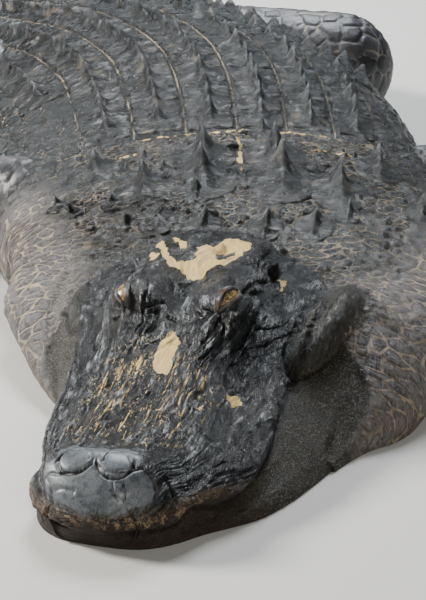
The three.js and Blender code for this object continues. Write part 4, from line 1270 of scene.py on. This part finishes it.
# Back plates: the armour of the trunk, rows of square bony plates under horn, set edge to edge in the skin, each with
# a keel, so that the keels run on in long ridges from the shoulders to the hips.
plates_across = profile((0.84, 5.4), (1.1, 6.6), (1.18, 8), (1.44, 8), (1.6, 6), (1.78, 4))
back_plates = []
for row in range(18):
    at = first_row + row * row_pitch
    count = 2 * round(float(plates_across(at)) / 2)
    width = float(column_width(at))
    for i in range(count):
        side = (i - (count - 1) / 2) * width
        outer = abs(side) / (width * 4)
        keel = (0.02 - 0.006 * outer) * (0.8 + 0.4 * float(scatter(row, i, 5)))
        back_plates.append(dict(
            at=at + outer * 0.008 + 0.004 * (float(scatter(row, i, 6)) - 0.5), side=side, length=row_pitch,
            width=width * 0.965, rim=0.0025, front=0.005, rear=0.0045 + 1.15 * keel,
        ))
armour = plates_object("back_plates", back_plates, 9)
dress(armour, keeled_horn, "back_skin", "torso_front", "torso_middle", "torso_rear")


# Tail crests: upright flaps of stiff horn, one pair to each belt of the tail, drawing together to a single row that
# runs out to the tip.
crest_height = profile((1.9, 0.022), (2.2, 0.034), (2.7, 0.046), (3.1, 0.044), (3.45, 0.026), (3.6, 0.012))
double_crest_end = 2.78
crests = []
for i, at in enumerate(tail_rows):
    if at > total_length - 0.04:
        break
    rear = float(crest_height(at)) * (0.92 + 0.16 * float(scatter(i, 8)))
    shape = dict(at=at, length=float(tail_pitch(at)) * 0.95, rim=rear * 0.2, front=rear * 0.5, rear=rear)
    if at < double_crest_end:
        spread = 0.03 - 0.021 * (at - 1.9) / (double_crest_end - 1.9)
        crests += pair(side=spread, width=0.015, **shape)
    else:
        crests.append(dict(side=0.0, width=0.012, **shape))
crest_spots = np.concatenate([[-1, -0.9], np.linspace(-0.75, 0.75, 7), [0.9, 1]])
tail_crests = plates_object("tail_crests", crests, 12, spots_across=crest_spots, sharpness=0.42, root=0.01)
dress(tail_crests, keeled_horn, "back_skin", *["tail_" + str(i) for i in range(1, 7)])


# Legs: each is one sleeve of hide over upper limb, lower limb and foot, folded beside the body with the foot flat on
# the floor. It carries smooth many-sided scales, broad on the thigh and small on the toes, with pale skin in between.
legs = [
    dict(
        name="fore", nodes=["upper_arm", "forearm", "hand"],
        root=(0.85, 0.225, 0.096), bend=(0.962, 0.388, 0.086), joint=(0.836, 0.452, 0.04), palm=(0.776, 0.476, 0.022),
        upper=profile((0, 0.064), (0.5, 0.06), (1, 0.048)), lower=profile((0, 0.047), (0.35, 0.046), (1, 0.027)),
        palm_size=profile((0, 0.027), (1, 0.034)), digit_radius=0.01, webbed=False, broad_scale=0.022,
        digits=[(0.05, -46, True), (0.068, -16, True), (0.074, 12, True), (0.064, 42, False), (0.048, 74, False)],
    ),
    dict(
        name="hind", nodes=["thigh", "shank", "foot"],
        root=(1.64, 0.15, 0.108), bend=(1.405, 0.408, 0.102), joint=(1.65, 0.44, 0.052), palm=(1.576, 0.504, 0.024),
        upper=profile((0, 0.088), (0.5, 0.098), (1, 0.098)), lower=profile((0, 0.086), (0.35, 0.074), (1, 0.036)),
        palm_size=profile((0, 0.036), (1, 0.046)), digit_radius=0.012, webbed=True, broad_scale=0.034,
        digits=[(0.072, -2, True), (0.098, 22, True), (0.104, 44, True), (0.084, 68, False)],
    ),
]
ring_count, ring_around = 22, 20


def limb_rings(start, end, radius, flat=1.0):
    """Rings of a round-ended taper between two points, wider or flatter than round."""
    axis = end - start
    length = np.linalg.norm(axis)
    axis = axis / length
    across = np.cross((0, 0, 1), axis)
    across /= np.linalg.norm(across)
    upward = np.cross(axis, across)
    turns = np.linspace(0, np.pi, ring_count)
    cap_0, cap_1 = float(radius(0)), float(radius(1))
    reach = (length + cap_0 + cap_1) * (1 - np.cos(turns)) / 2 - cap_0
    t = np.clip(reach / length, 0, 1)
    beyond = np.where(reach < 0, -reach / cap_0, np.where(reach > length, (reach - length) / cap_1, 0))
    size = radius(t) * np.sqrt(np.maximum(1 - beyond**2, 0.003))
    around = np.linspace(0, 2 * np.pi, ring_around + 1)
    ring = np.cos(around)[None, :, None] * across + flat * np.sin(around)[None, :, None] * upward
    points = start + reach[:, None, None] * axis + size[:, None, None] * ring
    points[..., 2] = np.maximum(points[..., 2], 0)
    return points


def bearing_at(along, sign, degrees):
    """A direction on the floor at a place along the spine, turned from straight ahead towards the outside."""
    ahead = place(along - 0.05, 0, 0) - place(along + 0.05, 0, 0)
    outward = place(along, sign * 0.1, 0) - place(along, 0, 0)
    turn = math.radians(degrees)
    return ahead / np.linalg.norm(ahead) * math.cos(turn) + outward / np.linalg.norm(outward) * math.sin(turn)


def toes(leg, sign):
    """For each toe its root, its tip, the way it points and whether it has a claw."""
    along, out, up = leg["palm"]
    palm = place(along, sign * out, up - 0.004)
    found = []
    for length, bearing, claw in leg["digits"]:
        way = bearing_at(along, sign, bearing)
        base = palm + way * float(leg["palm_size"](1)) * 0.55
        tip = base + way * length
        tip[2] = leg["digit_radius"] * 0.75
        found.append((base, tip, way, claw))
    return found


def solid_cells(points, size, seed):
    """Many-sided scales cut from solid cells: the distance in from the nearest seam and each one's own number."""
    spots = points / size
    corner = np.floor(spots).astype(np.int64)
    nearest, second, own = np.full(len(points), 9.0), np.full(len(points), 9.0), np.zeros(len(points))
    for step in np.ndindex(3, 3, 3):
        key = corner + np.array(step) - 1
        offsets = [scatter(key[:, 0], key[:, 1], key[:, 2], seed + i) for i in range(3)]
        away = np.linalg.norm(key + 0.15 + 0.7 * np.stack(offsets, axis=1) - spots, axis=1)
        closer = away < nearest
        second = np.where(closer, nearest, np.minimum(second, away))
        own = np.where(closer, scatter(key[:, 0], key[:, 1], key[:, 2], seed + 7), own)
        nearest = np.minimum(nearest, away)
    return (second - nearest) / 2 * size, own


dark_scale = (0.012, 0.013, 0.015)
grey_scale = (0.08, 0.08, 0.089)
scale_flecks = (0.16, 0.155, 0.15)
leg_seam = (0.42, 0.37, 0.3)


def leg_material():
    finish = Finish("scaled_leg_hide")
    fine = finish.in_body(160, 5, 0.6)
    mottle = finish.in_body(30, 4, 0.6)
    tone = finish.field("own") * 0.3 + mottle * 0.6
    colour = tone.between(0.2, 0.8).mix(dark_scale, grey_scale)
    colour = fine.between(0.62, 0.74, 0, 0.35).mix(colour, scale_flecks)
    seam = (finish.field("seam") + (mottle - 0.5) * 0.001).between(0.0004, 0.0012, 1, 0)
    finish.paint((seam * mottle.between(0.35, 0.65, 0.1, 0.6)).mix(colour, leg_seam))
    feed(finish.shader.inputs["Roughness"], mottle.between(0.3, 0.7, 0.4, 0.55))
    finish.shader.inputs["Specular IOR Level"].default_value = 0.55
    finish.emboss(fine, 0.0009)
    return finish.material


leg_hide = leg_material()
voxel = 0.0035
toe_scale, foot_reach = 0.0115, 0.13
for leg in legs:
    for side_name, sign in sides.items():
        root, bend, joint, palm = (
            place(along, sign * out, up) for along, out, up in (leg["root"], leg["bend"], leg["joint"], leg["palm"]))
        toe_list = toes(leg, sign)
        parts = [limb_rings(root, bend, leg["upper"]), limb_rings(bend, joint, leg["lower"])]
        parts.append(limb_rings(joint, palm, leg["palm_size"], 0.62))
        toe_size = profile(*((t, share * leg["digit_radius"]) for t, share in ((0, 1.15), (0.7, 0.95), (1, 0.8))))
        for base, tip, way, _ in toe_list:
            parts.append(limb_rings(base - 0.02 * way, tip, toe_size))
        if leg["webbed"]:
            for (base, tip, _, _), (next_base, next_tip, _, _) in zip(toe_list, toe_list[1:]):
                inner, outer = (base + next_base) / 2, (base + next_base) * 0.29 + (tip + next_tip) * 0.21
                inner[2] = outer[2] = 0.004
                web = profile((0, np.linalg.norm(base - next_base) / 2), (1, np.linalg.norm(tip - next_tip) * 0.32))
                parts.append(limb_rings(inner, outer, web, 0.14))
        rings = np.array(parts)
        form = grid_object("leg_form", rings, rings[..., :2], {})
        remesh = form.modifiers.new("one_sleeve", "REMESH")
        remesh.mode = "VOXEL"
        remesh.voxel_size = voxel
        soften = form.modifiers.new("soften", "SMOOTH")
        soften.factor, soften.iterations = 0.6, 14
        form_mesh = bpy.data.meshes.new_from_object(form.evaluated_get(bpy.context.evaluated_depsgraph_get()))
        bpy.data.objects.remove(form)
        name = "_".join([leg["name"], "leg", side_name])
        form_mesh.name = name
        piece = bpy.data.objects.new(name, form_mesh)
        bpy.context.scene.collection.objects.link(piece)

        count = len(form_mesh.vertices)
        spots, normals = np.empty(3 * count), np.empty(3 * count)
        form_mesh.vertices.foreach_get("co", spots)
        form_mesh.vertices.foreach_get("normal", normals)
        spots, normals = spots.reshape(-1, 3), normals.reshape(-1, 3)
        from_foot = np.linalg.norm(spots - palm, axis=1)
        warp = 0.006 * np.stack([drift(*(spots.T / 0.04), seed) for seed in (1, 2, 3)], axis=1)
        broad, broad_own = solid_cells(spots + warp, leg["broad_scale"], 21)
        small, small_own = solid_cells(spots + warp, toe_scale, 31)
        near_foot = from_foot < foot_reach
        edge, own = np.where(near_foot, small, broad), np.where(near_foot, small_own, broad_own)
        height = np.where(near_foot, 0.0012, 0.0024) * (ease(0, 0.004, edge) - 0.5)
        height = height + 0.0006 * drift(*(spots.T / 0.012), 41, 2)
        spots = spots + normals * (height * ease(0, 0.004, spots[:, 2]))[:, None]
        form_mesh.vertices.foreach_set("co", np.clip(spots, lowest, highest).ravel())
        for field, values in (("seam", edge), ("own", own)):
            form_mesh.attributes.new(field, "FLOAT", "POINT").data.foreach_set("value", values.astype(np.float32))
        form_mesh.polygons.foreach_set("use_smooth", np.ones(len(form_mesh.polygons), bool))
        form_mesh.materials.clear()
        dress(piece, leg_hide, "leg_skin", *[node + "_" + side_name for node in leg["nodes"]])


# Claws: dark curved sheaths of horn on the three inner toes of each foot, worn pale at the point. Each grows on the
# last bone of its toe, and its root is sunk into the skin.
claw_dark = (0.012, 0.01, 0.008)
claw_brown = (0.07, 0.055, 0.04)
claw_point = (0.2, 0.16, 0.11)


def claw_material():
    finish = Finish("claw_horn")
    streaks = finish.on_surface(40, 700, 4, 0.6, 0.2)
    colour = streaks.between(0.35, 0.65).mix(claw_dark, claw_brown)
    finish.paint(finish.field("tip").between(0.72, 1, 0, 0.6).mix(colour, claw_point))
    finish.shader.inputs["Roughness"].default_value = 0.35
    finish.emboss(streaks, 0.0006)
    return finish.material


claw_horn = claw_material()
claw_rings, claw_around = 14, 14
for leg in legs:
    for side_name, sign in sides.items():
        clawed = [toe for toe in toes(leg, sign) if toe[3]]
        for i, (_, tip, way, _) in enumerate(clawed):
            radius = leg["digit_radius"] * 0.62
            t = np.linspace(0, 1, claw_rings)[:, None, None]
            turn = np.linspace(0, 2 * np.pi, claw_around + 1)[None, :, None]
            across = np.cross((0, 0, 1), way)
            size = radius * np.sqrt(np.maximum(1 - t, 0.004)) * (1 - 0.25 * t)
            ahead = -0.006 + 0.031 * t + radius * 0.6
            up = 0.0035 * np.sin(np.pi * np.minimum(t * 1.3, 1)) - 0.0045 * t**2
            points = tip + way * ahead + across * size * 0.75 * np.cos(turn)
            points[..., 2] = np.maximum(points[..., 2] + (up + size * np.sin(turn))[..., 0], 0.0003)
            surface = np.stack(np.broadcast_arrays(0.03 * t[..., 0], 0.004 * turn[..., 0]), axis=-1)
            name = "_".join([leg["name"], "claw", side_name, str(i + 1)])
            claw = grid_object("curved_" + name, points, surface, {"tip": t[..., 0] + 0 * turn[..., 0]})
            dress(claw, claw_horn, "claw", name)
